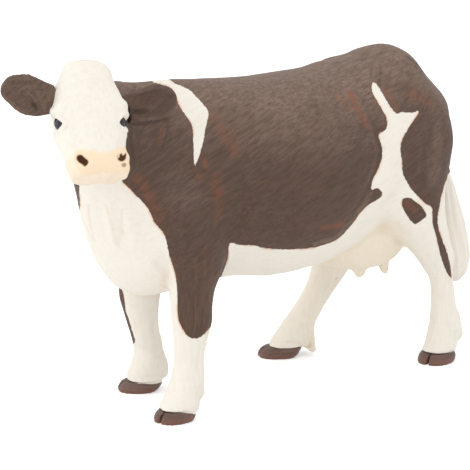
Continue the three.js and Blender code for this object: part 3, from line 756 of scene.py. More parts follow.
def curved(outline):
    """A closed outline with its corners taken out by a curve through its points."""
    points = np.array(outline, float)
    before, after, later = (np.roll(points, shift, axis=0) for shift in (1, -1, -2))
    steps = []
    for k in range(CURVE_STEPS):
        t = k / CURVE_STEPS
        steps.append(0.5 * (2 * points + (after - before) * t
                            + (2 * before - 5 * points + 4 * after - later) * t ** 2
                            + (3 * points - before - 3 * after + later) * t ** 3))
    return np.stack(steps, axis=1).reshape(-1, 2)


def distance_to(places, line):
    """The distance of each place to a line of points."""
    nearest = np.full(len(places), np.inf)
    for start, end in zip(line[:-1], line[1:]):
        way = end - start
        t = np.clip((places - start) @ way / max(way @ way, TINY), 0, 1)
        gap = places - start - t[:, None] * way
        nearest = np.minimum(nearest, np.einsum("ij,ij->i", gap, gap))
    return np.sqrt(nearest)


def inside(places, outline):
    crossings = np.zeros(len(places), bool)
    for start, end in zip(outline, np.roll(outline, -1, axis=0)):
        spans = (start[1] > places[:, 1]) != (end[1] > places[:, 1])
        rise = end[1] - start[1] or TINY
        border = start[0] + (places[:, 1] - start[1]) * (end[0] - start[0]) / rise
        crossings ^= spans & (places[:, 0] < border)
    return crossings


def depth_in(places, outline):
    """How deep each pixel lies inside an outline, in millimetres, below zero outside."""
    outline = curved(outline)
    away = distance_to(places, np.vstack([outline, outline[:1]])) / PIXELS_PER_MM
    return np.where(inside(places, outline), away, -away)


print("steps of a curve between two points:", CURVE_STEPS)

# %% [markdown]
# ## Eyelids
# A cow's eye opens as a slanted almond. Points inside the almond sink below the eyeball, those just outside
# stand a little proud of it as lids, and a crease runs round above them. The right eye is cut off by the
# head's outline in the photo, so its opening is drawn as it is seen.

# %% Eyelids
RIGHT_EYE = [(44, 112), (51, 113.6), (55, 117.8), (58.6, 120.6), (62.2, 123.4), (59.8, 126.8), (57.4, 129.2),
             (54, 128.8), (50, 126.5), (44, 124)]
EYE_CENTRES = {1: (14.7, 5.5, -2.8), -1: (14.4, -6.9, -2.9)}
EYE_OUTWARD = (0.05, 0.93, 0.36)
EYE_INNER = (0.45, -0.3, 0.85)
EYE_RADIUS = 1.85
SOCKET_REACH = 4.5
SOCKET_FRONT = 0.2
SOCKET_DEPTH = 0.5
LID_LENGTH = 2.0
LID_OPENING = 1.3
LID_THICKNESS = 0.3
LID_WIDTH = 1.1
LID_COVER = 0.12
LID_POINT = 0.35
LID_EDGE = (-0.1, 0.14)
LID_MIDDLE = 0.35
LID_FULL = 0.25
CREASE_AWAY = 1.5
CREASE_WIDTH = 0.7
CREASE_DEPTH = 0.22


def eye_axes(side):
    """Out of the socket, along the almond towards its inner corner, and across it."""
    mirror = np.array([1, side, 1])
    outward = HEAD_AXES @ (EYE_OUTWARD * mirror)
    outward /= np.linalg.norm(outward)
    inner = HEAD_AXES @ (EYE_INNER * mirror)
    inner -= outward * (inner @ outward)
    inner /= np.linalg.norm(inner)
    return outward, inner, np.cross(outward, inner)


def open_eye(side):
    centre = from_head(*EYE_CENTRES[side])
    outward, inner, across = eye_axes(side)
    offset = clay.points - centre
    radius = np.linalg.norm(offset, axis=1)
    near = np.flatnonzero((radius < SOCKET_REACH) & (offset @ outward > SOCKET_FRONT))
    a = offset[near] @ inner / LID_LENGTH
    b = offset[near] @ across / LID_OPENING
    edge = (np.sqrt(a * a + (np.abs(b) + LID_POINT * a * a) ** 2) - 1) * LID_OPENING
    if side == -1:
        edge = -depth_in(pixels_of(clay.points[near]), RIGHT_EYE)
    opening = 1 - smoothstep(*LID_EDGE, edge)
    lid = soft(edge - LID_MIDDLE, LID_WIDTH) * (1 - opening)
    crease = soft(edge - CREASE_AWAY, CREASE_WIDTH)
    target = np.where(opening > 0, EYE_RADIUS - SOCKET_DEPTH, EYE_RADIUS + LID_THICKNESS)
    sunk = radius[near] + opening * (np.minimum(target, radius[near]) - radius[near])
    raised = np.maximum(sunk, (EYE_RADIUS + LID_THICKNESS) * (lid > LID_FULL))
    moved = np.where(opening > 0.5, sunk, sunk + lid * (raised - sunk)) - CREASE_DEPTH * crease
    moved = np.where(edge > LID_EDGE[1], np.maximum(moved, EYE_RADIUS + LID_COVER), moved)
    clay.points[near] = centre + offset[near] * (moved / radius[near])[:, None]


for side in (1, -1):
    open_eye(side)
clay.refresh()
print("eye opening, mm:", 2 * LID_LENGTH, "by", 2 * LID_OPENING)

# %% [markdown]
# ## The feet
# No cow sets all four feet down alike: here all turn out, the right ones furthest. Each foot is twisted about
# its own middle, more and more towards the ground. The skin also comes down over the top of the hoof, so
# that no gap shows there, and the dew claws are pulled to where the photo shows them.

# %% Turned feet
CORONET = 2.8
FOOT_TOP = 7
FORE_AND_AFT = 5
FOOT_TURNS = {"front_left": 6, "front_right": -38, "hind_left": 18, "hind_right": -38}
FOOT_LENGTHS = {"front_left": 0.96, "front_right": 0.9, "hind_left": 0.94, "hind_right": 0.9}
HOOF_REACH = 5.5
HAIR_EDGES = {
    # how high the horn reaches at the heel and at the toe, in millimetres
    "front_left": (1.0, 3.3),
    "front_right": (2.2, 2.9),
    "hind_left": (2.3, 3.0),
    "hind_right": (2.8, 3.0),
}
SKIN_OVERLAP = 0.35
SKIN_STANDS_OUT = 0.25
SKIN_FULL_DROP = 1
SKIN_FADE = (0.2, 3.6)
FOOT_FADE = 1.2
FOOT_LEVELS = (4, 5, 6, FOOT_TOP)
HEEL_TO_TOE = (-1, 0.7)
LEAST_REACH = 0.1
SECTION_HALF = 0.6
DEW_CLAW_PULLS = (
    # place over the photo, width in mm, and the way to the right and down in pixels
    ((304, 336), 3, (0, 5)),
    ((311, 342), 3, (0, 5)),
    ((168, 369), 2.6, (-1.5, 5)),
    ((463, 342), 3, (-1.5, -1.5)),
    ((204.5, 400), 1.8, (-2, -1)),
)


def is_leg(points, leg):
    ahead = points[:, 0] > FORE_AND_AFT
    left = points[:, 1] > 0
    return (ahead == leg.startswith("front")) & (left == leg.endswith("left"))


def leg_section(leg, height):
    """The middle of a leg at a height, and its foremost and hindmost x."""
    near = is_leg(clay.points, leg) & (np.abs(clay.points[:, 2] - height) < SECTION_HALF)
    section = clay.points[near]
    low, high = section.min(axis=0), section.max(axis=0)
    return (low + high) / 2, high[0], low[0]


def turn_foot(points, leg, middles):
    """Twists and shortens a foot about its middle, fully at the ground and not at all at the shin."""
    share = 1 - smoothstep(CORONET, FOOT_TOP, points[:, 2])
    heights = [middle[2] for middle in middles]
    middle = np.stack([np.interp(points[:, 2], heights, [m[k] for m in middles]) for k in (0, 1)], axis=1)
    angle = math.radians(FOOT_TURNS[leg]) * share
    along = (points[:, 0] - middle[:, 0]) * (1 - (1 - FOOT_LENGTHS[leg]) * share)
    across = points[:, 1] - middle[:, 1]
    turned = points.copy()
    turned[:, 0] = middle[:, 0] + along * np.cos(angle) - across * np.sin(angle)
    turned[:, 1] = middle[:, 1] + along * np.sin(angle) + across * np.cos(angle)
    return turned


def foot_middle(leg):
    low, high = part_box(f"{leg}_hoof")
    middle = (np.array(low + high) / 2 - ORIGIN) / MM
    return np.array([middle[0], middle[1], CORONET])


def lower_skin(points, leg):
    """Brings the skin down over the hoof, further at the heel, and lets it stand out a little there."""
    middle = foot_middle(leg)
    offset = points[:, :2] - middle[:2]
    heel, toe = HAIR_EDGES[leg]
    edge = np.interp(offset[:, 0] / HOOF_REACH, HEEL_TO_TOE, (heel, toe))
    drop = np.maximum(SKIN_OVERLAP, CORONET - edge)
    share = 1 - smoothstep(CORONET + SKIN_FADE[0], CORONET + SKIN_FADE[1], points[:, 2])
    reach = np.linalg.norm(offset, axis=1)
    share *= 1 - smoothstep(HOOF_REACH, HOOF_REACH + FOOT_FADE, reach)
    outward = offset / np.maximum(reach, LEAST_REACH)[:, None]
    lowered = points.copy()
    lowered[:, 2] -= drop * share
    stand_out = SKIN_STANDS_OUT * share * smoothstep(SKIN_OVERLAP, SKIN_FULL_DROP, drop)
    lowered[:, :2] += outward * stand_out[:, None]
    return lowered


foot_middles = {}
for leg in LEGS:
    foot_middles[leg] = [foot_middle(leg)] + [leg_section(leg, height)[0] for height in FOOT_LEVELS]
    on_foot = is_leg(clay.points, leg) & (clay.points[:, 2] < FOOT_TOP)
    lowered = lower_skin(clay.points[on_foot], leg)
    clay.points[on_foot] = turn_foot(lowered, leg, foot_middles[leg])
clay.refresh()
clay.pull_over_photo(DEW_CLAW_PULLS)
print("feet turned by, degrees:", FOOT_TURNS)

# %% [markdown]
# ## The legs
# A cow's shin shows a groove between bone and tendon on each side. The strokes are placed by measuring the
# clay at some heights, so they follow each leg in its own step.

# %% Strokes on the legs
LEG_SIDE_STROKES = (
    # width, height, share of the leg's depth from back to front, and levels
    (1.3, -0.38, 0.36, (19, 15, 11)),
    (1.4, 0.16, 0.62, (18, 15, 11.5)),
    (2.2, 0.22, 0.5, (9.2, 8.2)),
)
KNEE_STROKE = (2.4, 0.2)
KNEE_LEVELS = (20, 23, 26)
PASTERN_STROKE = (1, -0.1)
PASTERN_LEVEL = 9.8
PASTERN_POINTS = 25
BESIDE_LEG = 8
BEFORE_LEG = 2
SHIN_LEVEL = 15


def beside_leg(leg, side, share, levels):
    """Places on the flank of a leg, at a share of its depth from back to front."""
    places = []
    for level in levels:
        middle, front, back = leg_section(leg, level)
        places.append([back + share * (front - back), middle[1] + side * BESIDE_LEG, level])
    return clay.onto(denser(places, STROKE_STEP))


def before_leg(leg, levels):
    places = []
    for level in levels:
        middle, front, _ = leg_section(leg, level)
        places.append([front + BEFORE_LEG, middle[1], level])
    return clay.onto(denser(places, STROKE_STEP))


def round_leg(leg, level):
    middle, front, back = leg_section(leg, level)
    reach = (front - back) / 2 + BEFORE_LEG
    turns = np.linspace(0, 2 * math.pi, PASTERN_POINTS)
    return clay.onto([[middle[0] + reach * math.cos(turn), middle[1] + reach * math.sin(turn), level]
                      for turn in turns])


for leg in LEGS:
    for side in (1, -1):
        for width, height, share, levels in LEG_SIDE_STROKES:
            clay.draw(beside_leg(leg, side, share, levels), width, height)
    clay.draw(before_leg(leg, KNEE_LEVELS), *KNEE_STROKE)
    clay.draw(round_leg(leg, PASTERN_LEVEL), *PASTERN_STROKE, taper=False)
clay.refresh()
middle, front, back = leg_section("front_left", SHIN_LEVEL)
print("depth of the left front shin, mm:", round(float(front - back), 1))

# %% [markdown]
# ## The modeller's hand
# No hand-made surface is perfectly even. A very low, slow noise keeps the flanks from looking like a machined
# solid, and a finer one that is drawn out along the hair gives the coat its locks. Both are moved into the
# mesh, so that they are there from every side and in every light.

# %% Unevenness and locks of hair
SLOW_WAVE = 9
SLOW_HEIGHT = 0.14
LOCK_WIDTH = 1.5
LOCK_LENGTH = 7
LOCK_HEIGHT = 0.055
HAIR_SLOPE = math.radians(24)
HANGING_AHEAD = (0, 6)
HANGING_BELOW = (27, 40)
HANGING_STRENGTH = 0.6
CALM_AHEAD = (0, 4)
CALM_FACE = 0.75
CALM_FOOT = (0.5, 2)


def noise_of(points):
    return np.array([noise.noise(Vector(point)) for point in points.tolist()])


def hair_frame(points):
    """Places along and across the hair: back and down on the trunk, straight down on legs and face."""
    c, s = math.cos(HAIR_SLOPE), math.sin(HAIR_SLOPE)
    along = points[:, 0] * c + points[:, 2] * s
    across = -points[:, 0] * s + points[:, 2] * c
    trunk = np.stack([along / LOCK_LENGTH, points[:, 1] / LOCK_WIDTH, across / LOCK_WIDTH], axis=1)
    hanging = points / np.array([LOCK_WIDTH, LOCK_WIDTH, LOCK_LENGTH])
    return trunk, hanging


hanging_hair = np.maximum(smoothstep(*HANGING_AHEAD, ahead_of_neck(clay.points)),
                          1 - smoothstep(*HANGING_BELOW, clay.points[:, 2]))
trunk_places, hanging_places = hair_frame(clay.points)
locks = (1 - hanging_hair) * noise_of(trunk_places)
locks += hanging_hair * HANGING_STRENGTH * noise_of(hanging_places)
calm = 1 - CALM_FACE * smoothstep(*CALM_AHEAD, ahead_of_neck(clay.points))
calm *= smoothstep(CORONET - CALM_FOOT[0], CORONET + CALM_FOOT[1], clay.points[:, 2])
slow = noise_of(clay.points / SLOW_WAVE)
clay.points += clay.normals * ((SLOW_HEIGHT * slow + LOCK_HEIGHT * locks) * calm)[:, None]
clay.refresh()
print("largest lock, mm:", round(float(np.abs(locks * LOCK_HEIGHT).max()), 3))

# %% [markdown]
# ## The coat's map
# The cow is brown with a white face, breast, belly and legs, a white collar behind the ear and a white blaze
# over the thigh. The borders are drawn over the photo as outlines, and each point of the skin keeps its
# distance to the border in millimetres, above zero on brown. A distance makes a better mask than a colour:
# the paint can then roughen the border as finely as hair, whatever the mesh. The far side takes the mirror
# image, with its borders pushed about a little, because no cow is the same on both sides.

# %% Borders of the coat
BREAST_LINE = [(119, 180), (136.5, 196), (148, 208.5), (154.5, 222.5), (164.5, 235), (169, 254), (175, 273.5),
               (177, 291)]
SLEEVE = [(177.8, 316.7), (181.6, 327), (186, 334.5), (192, 338.4), (199, 337.6), (205, 333.5), (210, 327.5),
          (218, 321), (223, 310), (222, 298), (219, 284), (222, 275), (228, 258)]
BELLY_LINE = [(229.5, 243.4), (240, 245), (254, 245.4), (263, 248), (275, 249), (289, 249.5), (312, 248),
              (328, 243.4), (339, 238), (352, 224.5), (360, 213), (368, 205.5)]
FLANK_SPOT = [(372.6, 202.5), (377, 200), (381.7, 196), (381.7, 192), (377, 188), (371.5, 189.5)]
THIGH_FRONT = [(372, 181.6), (379, 167), (382, 157), (382, 147), (378.4, 134), (386, 130), (387, 120),
               (384, 112.7), (377, 101), (372, 90), (373.6, 81.6)]
THIGH_BACK = [(381, 90.7), (386, 100), (392, 109), (396.6, 113.7), (402, 112), (412, 113), (419, 110.8),
              (414, 120), (406, 132), (401, 143), (400.4, 151), (402, 161.5), (403, 174), (410, 187),
              (416.6, 195), (426, 204), (432, 208), (432.4, 222.7), (436, 236), (440.5, 255), (445, 268.6),
              (449.8, 276.8)]
THIGH_REAR = [(451.6, 277), (450, 264), (447, 253), (443, 242), (439, 230), (437.6, 219), (439.6, 206),
              (442.4, 192), (446, 181), (452, 173), (464, 168)]
BEYOND = [(490, 164), (490, 10), (30, 10), (30, 120), (90, 170)]
COLLAR = [(151.5, 80), (140, 62), (165, 58), (169.7, 79.7), (188.6, 89.4), (200.8, 101.6), (208.5, 111.8),
          (207.4, 120), (204.9, 131), (203.4, 141), (199.3, 155.7), (194.7, 165.4), (193.7, 151.6),
          (193.2, 136), (191, 123), (180.4, 107.8), (175.3, 96.5), (173.3, 90.4), (166, 85.8), (156, 83)]
THIGH_SPOT = [(402, 201), (404, 198), (410, 198), (416, 202), (423, 208), (426.7, 216), (423, 219),
              (416, 224), (412, 222), (406, 214), (402, 205.5)]

BROWN_OUTLINE = BREAST_LINE + SLEEVE + BELLY_LINE + FLANK_SPOT
BROWN_OUTLINE += THIGH_FRONT + THIGH_BACK + THIGH_REAR + BEYOND

print("outline points:", len(BROWN_OUTLINE))

# %% [markdown]
# ## From the photo to the skin
# A point on the near side is looked up where the camera sees it. A point on the far side is first mirrored,
# and on the legs also shifted along the body, because the right legs stand elsewhere in their step. What the
# photo can't show is filled in as on most such cows: white on the inner sides of the legs, on the back of the
# hind legs and under the throat.

# %% Coat over the whole body
HIND_STRIDE = ((0, 25.8), (8, 22), (21, 10.6), (30, 5.5), (42, 0))
FORE_STRIDE = ((0, -9.6), (8, -9.5), (22.8, -4.4), (38, -4.4), (52, 0))
LEFT_FACE = ((-2, 1), (2.5, -2.2), (4.6, -3.7), (8, -3), (11.4, -2.1), (13, -3.4), (15.6, -5.2), (17.7, -8),
             (21, -11), (24, -20))
RIGHT_FACE = ((-2, 1), (2.5, -5), (8, -9), (12, -12), (16, -14), (20, -16), (24, -20))
SKULL_HALF = 9.6
SKULL_BASE = -16.5
SKULL_BACK = -1
RIGHT_NECK = [(50, 140), (66, 148), (66, 165), (72, 180), (75.5, 184), (79, 184), (79.4, 192), (79.7, 200),
              (80, 206), (78.5, 211), (70, 212), (50, 180)]
RIGHT_SLEEVE = [(110, 287), (121, 288), (124.4, 300), (126.2, 312), (129.8, 322), (132.8, 333), (135, 342),
                (125, 346), (110, 320)]
THROAT = np.array([0.75, 0.2, -0.6])
WARP_PIXELS = 9
WARP_OFF_MIDDLE = (0, 8)
WARP_LEVELS = (30, 45)
WARP_DOWN_WAVE = (7, 0.6)
WARP_ALONG_WAVE = (9, 2)
NEVER_BROWN = -9
OUTER_TURN = 0.1
OUTER_THIGH_Y = 11
LEG_LEVELS = (38, 46)
FORE_INNER_TURN = (0.05, 0.45)
HIND_UNSEEN_TURN = (0.05, 0.35)
INNER_BORDER = 3
INNER_PUSH = 6
OUTER_SHIN_Y = 14.2
OUTER_SHIN_RISE = 20
OUTER_SHIN_LEVELS = (25, 31)
THROAT_X = 40
THROAT_TURN = 0.72
THROAT_STEEPNESS = 12
THROAT_BOTTOM = 46
RIGHT_NECK_BACK = -15
RIGHT_NECK_BOTTOM = 40
RIGHT_SLEEVE_TOP = 27


def in_photo(points):
    """Pixels of the photo for near points, and of the mirror image for far ones."""
    off_middle = points[:, 1] - midline(points[:, 0])
    far = off_middle < 0
    twin = np.where(far[:, None], mirrored(points), points)
    ahead = points[:, 0] > FORE_AND_AFT
    for stride, place in ((FORE_STRIDE, ahead), (HIND_STRIDE, ~ahead)):
        heights, shifts = zip(*stride)
        shift = np.interp(points[:, 2], heights, shifts)
        twin[:, 0] -= np.where(far & place, shift, 0)
    pixels = pixels_of(twin)
    push = WARP_PIXELS * np.where(far, smoothstep(*WARP_OFF_MIDDLE, -off_middle), 0)
    push *= smoothstep(*WARP_LEVELS, points[:, 2])
    for k, place, (length, start) in ((0, points[:, 2], WARP_DOWN_WAVE), (1, points[:, 0], WARP_ALONG_WAVE)):
        pixels[:, k] += push * np.sin(place / length + start)
    return pixels


def on_skull(points):
    head = to_head(points)
    within = (np.abs(head[:, 1]) < SKULL_HALF) & (head[:, 2] > SKULL_BASE)
    return within & (ahead_of_neck(points) > SKULL_BACK)


def coat_of(points, normals):
    """The distance to the coat's border in millimetres, above zero on brown."""
    x, y, z = points.T
    pixels = in_photo(points)
    outward = normals[:, 1] * np.sign(y)
    on_outside = (outward > OUTER_TURN) & (np.abs(y) > OUTER_THIGH_Y)
    spot = np.where(on_outside, depth_in(pixels, THIGH_SPOT), NEVER_BROWN)
    coat = np.minimum(depth_in(pixels, BROWN_OUTLINE), -depth_in(pixels, COLLAR))
    coat = np.maximum(coat, spot)

    fore = x > FORE_AND_AFT
    unseen = -(np.stack([normals[:, 0], outward, normals[:, 2]], axis=1) @ BACKWARD)
    hidden = np.where(fore, smoothstep(*FORE_INNER_TURN, -outward), smoothstep(*HIND_UNSEEN_TURN, unseen))
    low = 1 - smoothstep(*LEG_LEVELS, z)
    coat = np.minimum(coat, INNER_BORDER - INNER_PUSH * hidden * low)
    outer_shin = np.abs(y) - OUTER_SHIN_Y + OUTER_SHIN_RISE * smoothstep(*OUTER_SHIN_LEVELS, z)
    coat = np.where(fore, coat, np.minimum(coat, outer_shin))

    head = to_head(points)
    borders = [np.interp(head[:, 0], *zip(*line)) for line in (LEFT_FACE, RIGHT_FACE)]
    coat = np.where(on_skull(points), np.where(head[:, 1] > 0, *borders) - head[:, 2], coat)
    throat = np.minimum((normals @ THROAT - THROAT_TURN) * THROAT_STEEPNESS, z - THROAT_BOTTOM)
    coat = np.where(x > THROAT_X, np.minimum(coat, -throat), coat)

    seen = pixels_of(points)
    on_neck = (head[:, 2] < RIGHT_NECK_BACK) & (z > RIGHT_NECK_BOTTOM)
    on_sleeve = is_leg(points, "front_right") & (z < RIGHT_SLEEVE_TOP)
    for place, outline in ((on_neck, RIGHT_NECK), (on_sleeve, RIGHT_SLEEVE)):
        coat = np.maximum(coat, np.where(place, depth_in(seen, outline), NEVER_BROWN))
    return coat


coat = coat_of(clay.points, clay.normals)
clay.store("coat", coat)
print("brown share of the skin:", round(float((coat > 0).mean()), 2))

# %% [markdown]
# ## Notes for the painter
# Besides the coat's border the paint needs to know where the skin is hollow or raised, for painted shade and
# highlight, which way the hair lies, how far it faces up, for a painted highlight on the back, and where the
# painter's airbrush went: rust along some borders, cream on muzzle and udder, dark in the nostrils, painted
# shade under the ear and in some folds, painted highlight on loin, barrel and thigh. All are kept as one
# number for each point.

# %% Hollows, hair and airbrush
RUST_STROKES = (
    # width in mm, strength and the line over the photo
    (2.0, 1.0, [(351, 94), (356, 105), (361, 114), (367, 125)]),
    (2.2, 0.35, [(333, 94), (340, 100), (346, 108)]),
    (1.6, 0.6, [(385, 88), (390, 98), (397, 106)]),
    (2.6, 0.45, [(408, 92), (418, 96), (430, 102)]),
    (1.2, 0.7, [(320, 228), (332, 227), (343, 224)]),
    (2.2, 0.5, [(138, 178), (148, 194), (158, 216)]),
    (1.0, 0.7, [(203, 160), (207, 167)]),
    (1.0, 0.6, [(196, 170), (200, 178)]),
    (2.6, 0.4, [(214, 118), (226, 134), (234, 150)]),
    (2.2, 0.4, [(216, 180), (220, 200), (219, 216)]),
    (0.7, 0.35, [(205, 246), (205, 285), (204, 322)]),
    (0.6, 0.3, [(196, 258), (196, 292), (196, 326)]),
    (0.6, 0.3, [(214, 250), (211, 280), (209, 300)]),
    (0.9, 0.9, [(177, 97), (179, 103), (181.5, 108)]),
    (1.6, 0.5, [(406, 204), (414, 209)]),
    (0.8, 0.6, [(162, 124), (161, 134), (158, 146)]),
)
LEFT_NOSTRIL = [(117.7, 158.9), (119.5, 157), (119.8, 154.3), (121.5, 153.6), (123, 155.3), (126.4, 153.2),
                (126.2, 156.5), (125, 160), (122, 161.5), (119.5, 160.8)]
RIGHT_NOSTRIL = [(76.6, 157.3), (78.6, 155), (82, 155.2), (84.4, 157.6), (87, 159.6), (88.6, 161.8),
                 (87.6, 164.2), (86, 166), (84.2, 166.3), (82.4, 164.6), (79.4, 162.6), (77, 160)]
NOSTRIL_SPOT = [(121.6, 164.2), (123.4, 162.8), (126, 163.4), (126, 166), (124, 167.2), (122, 166.2)]
MUZZLE = [(77, 170), (73.6, 161), (74, 153.5), (80, 149.5), (92, 151), (104, 152.5), (114, 149.5),
          (122, 146.5), (133, 150), (134, 170), (124, 175), (112.5, 173.3), (103, 172.4), (94, 174.4),
          (86, 177), (80, 176)]
CHIN_SHARE = 0.6
UDDER_CREAM = 0.36
UDDER_CREAM_REACH = 6
HOLLOW_DEPTH = 0.22
BLUR_SHARE = 0.5
BODY_HOLLOW_ROUNDS = 14
PIECE_HOLLOW_ROUNDS = 10
TOP_ROUNDS = 40
TOP_TURN = (0.1, 0.85)
NOSE_START = 19
CHIN_START = (23, 25)
BLUSH_EDGE = (-0.7, 0.7)
NOSTRIL_EDGE = (-0.12, 0.12)
SPOT_EDGE = (-0.15, 0.15)
SPOT_DARKNESS = 0.6
FAR_LEG_CREAM = ((-24, -14, 16), 20, 0.08)
SHADE_STROKES = (
    # width in mm, strength and the line over the photo
    (0.9, 0.9, [(126, 121), (134, 123.5), (143.6, 124), (152, 122), (166, 118)]),
    (1.2, 0.5, [(131, 128), (131, 140), (133, 152), (134, 166)]),
    (0.8, 0.5, [(168, 120), (167, 132), (163, 148)]),
    (1.0, 0.8, [(407, 57), (414, 62), (421, 69)]),
    (1.6, 0.28, [(344, 231), (355, 225), (366, 221), (377, 219.5), (389, 221), (398, 224), (404, 233)]),
    (1.2, 0.2, [(362, 237), (374, 233.5), (386, 235)]),
    (1.2, 0.2, [(352, 247), (366, 243), (380, 243)]),
    (8, 0.32, [(316, 106), (336, 112), (354, 128)]),
    (4.5, 0.3, [(176, 184), (188, 192), (196, 200)]),
    (1.2, 0.45, [(106, 206), (112, 226), (116, 244)]),
    (1.0, 0.4, [(122, 210), (122, 228), (118, 246)]),
    (2.2, 0.4, [(156, 262), (164, 274), (168, 288)]),
    (1.0, 0.3, [(121, 286), (138, 297), (158, 297), (170, 294)]),
)
# painted highlight along the back, the loin, the lower edge of the barrel and the thigh
HIGHLIGHT_STROKES = (
    (2.6, 0.9, [(344, 65), (362, 68), (382, 74), (402, 80), (414, 83)]),
    (1.5, 0.6, [(316, 244), (336, 238), (352, 221), (363, 206), (371, 192)]),
    (3.8, 0.45, [(434, 108), (437, 140), (434, 176)]),
    (1.4, 0.15, [(418, 130), (421, 150), (419, 172)]),
    (0.8, 0.5, [(284, 66), (310, 62), (332, 58)]),
)


def hollows(lump, rounds):
    """Above zero in hollows and below zero on ridges."""
    mean = lump.blur(lump.points, rounds, BLUR_SHARE)
    return np.clip(np.sum((mean - lump.points) * lump.normals, axis=1) / HOLLOW_DEPTH, -1, 1)


def sprayed(strokes):
    """How much paint each point gets from a table of strokes, on both sides alike: rust, painted shade or
    painted highlight.
    """
    total = np.zeros(clay.count)
    for width, strength, pixels in strokes:
        line = clay.trace(pixels)
        for way in (line, clay.onto(mirrored(line))):
            near, away, _, agree = clay.reach(way, width)
            total[near] = np.maximum(total[near], strength * soft(away, width) * agree)
    return total


def away_from_udder(points, limit):
    """The distance to the solid of the udder, up to a limit."""
    solid = copy_of(["udder"], "udder_solid")
    surface = BVHTree.FromObject(solid, bpy.context.evaluated_depsgraph_get())
    low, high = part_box("udder")
    places = in_frame(points)
    near = np.all((places > np.array(low) - limit * MM) & (places < np.array(high) + limit * MM), axis=1)
    away = np.full(len(points), float(limit))
    for k in np.flatnonzero(near):
        away[k] = min(limit, surface.find_nearest(Vector(places[k]))[3] / MM)
    bpy.data.objects.remove(solid)
    return away


def creamy(points):
    away = away_from_udder(points, UDDER_CREAM_REACH)
    udder_share = UDDER_CREAM * (1 - smoothstep(0, UDDER_CREAM_REACH, away))
    place, width, strength = FAR_LEG_CREAM
    leg_share = strength * soft(np.linalg.norm(points - np.array(place), axis=1), width)
    return np.maximum(udder_share, leg_share)


# painted shade: darker paint in hollows and along the shade strokes
clay.store("hollow", np.maximum(hollows(clay, BODY_HOLLOW_ROUNDS), sprayed(SHADE_STROKES)))
clay.store("cream", creamy(clay.points))
clay.store("lie", hanging_hair)
clay.store("rust", sprayed(RUST_STROKES))
# painted highlight: lighter brown where the skin faces up, and along the highlight strokes
smooth_normals = clay.blur(clay.normals, TOP_ROUNDS, BLUR_SHARE)
facing_up = smoothstep(*TOP_TURN, smooth_normals[:, 2])
clay.store("top", np.maximum(facing_up, sprayed(HIGHLIGHT_STROKES)))
seen = pixels_of(clay.points)
along_head = to_head(clay.points)[:, 0]
on_nose = on_skull(clay.points) & (along_head > NOSE_START)
on_chin = CHIN_SHARE * smoothstep(*CHIN_START, along_head)
blush = np.maximum(smoothstep(*BLUSH_EDGE, depth_in(seen, MUZZLE)), on_chin)
clay.store("blush", np.where(on_nose, blush, 0))
nostrils = np.maximum(depth_in(seen, LEFT_NOSTRIL), depth_in(seen, RIGHT_NOSTRIL))
spot = SPOT_DARKNESS * smoothstep(*SPOT_EDGE, depth_in(seen, NOSTRIL_SPOT))
clay.store("dark", np.where(on_nose, np.maximum(smoothstep(*NOSTRIL_EDGE, nostrils), spot), 0))
print("sprayed strokes:", len(RUST_STROKES + SHADE_STROKES + HIGHLIGHT_STROKES))

# %% [markdown]
# ## Cutting the body for moulding
# The sculpted body is now cut where the solids have their seams: round the udder, across the neck and across
# the legs at the height of the belly. Each piece is closed at the cut. The normals of the uncut skin are kept
# with its points and given back to the pieces, so that the light runs on over the seams as it did before.

# %% Torso, head, udder and legs
LEG_SEAM = np.array([0, 0, 26])
UP = np.array([0, 0, 1])
UDDER_MARGIN = 0.7
CUT_PRECISION = 1e-7
LEAST_NORMAL = 1e-6


def keep_normals(piece, normals):
    held = piece.data.attributes.new("skin_normal", "FLOAT_VECTOR", "POINT")
    held.data.foreach_set("vector", normals.astype(np.float32).ravel())


def give_back_normals(piece):
    mesh = piece.data
    normals = read(mesh.attributes["skin_normal"].data, "vector", kind=np.float32)
    normals /= np.maximum(np.linalg.norm(normals, axis=1), LEAST_NORMAL)[:, None]
    mesh.attributes.remove(mesh.attributes["skin_normal"])
    mesh.shade_smooth()
    mesh.normals_split_custom_set_from_vertices(normals.tolist())


def close_to_tip(piece, tip):
    """Closes a hole with a cone that runs inwards to a tip, so that it stays inside the skin."""
    mesh = bmesh.new()
    mesh.from_mesh(piece.data)
    rim = [edge for edge in mesh.edges if edge.is_boundary]
    point = mesh.verts.new(in_frame(tip))
    for edge in rim:
        corner = edge.link_loops[0]
        mesh.faces.new((corner.link_loop_next.vert, corner.vert, point))
    mesh.to_mesh(piece.data)
    mesh.free()


def take_udder(piece):
    """Parts the skin of the udder from the body, and closes both."""
    open_faces(piece, away_from_udder(face_centres(piece), 2 * UDDER_MARGIN) < UDDER_MARGIN)
    bpy.ops.mesh.separate(type="SELECTED")
    deselect()
    taken = next(o for o in bpy.context.scene.objects if o.name.startswith(piece.name + "."))
    low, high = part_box("udder")
    tip = (np.array([(low.x + high.x) / 2, (low.y + high.y) / 2, high.z]) - ORIGIN) / MM
    close_to_tip(piece, tip)
    close_to_tip(taken, tip)
    return taken


def cut_from_body(name, *cuts):
    """A copy of the body without what lies behind each plane, closed again."""
    piece = add_object(name, body.data.copy())
    for place, direction in cuts:
        edit(piece)
        bpy.ops.mesh.bisect(plane_co=in_frame(place), plane_no=direction, use_fill=True, clear_inner=True,
                            threshold=CUT_PRECISION)
        deselect()
    return piece


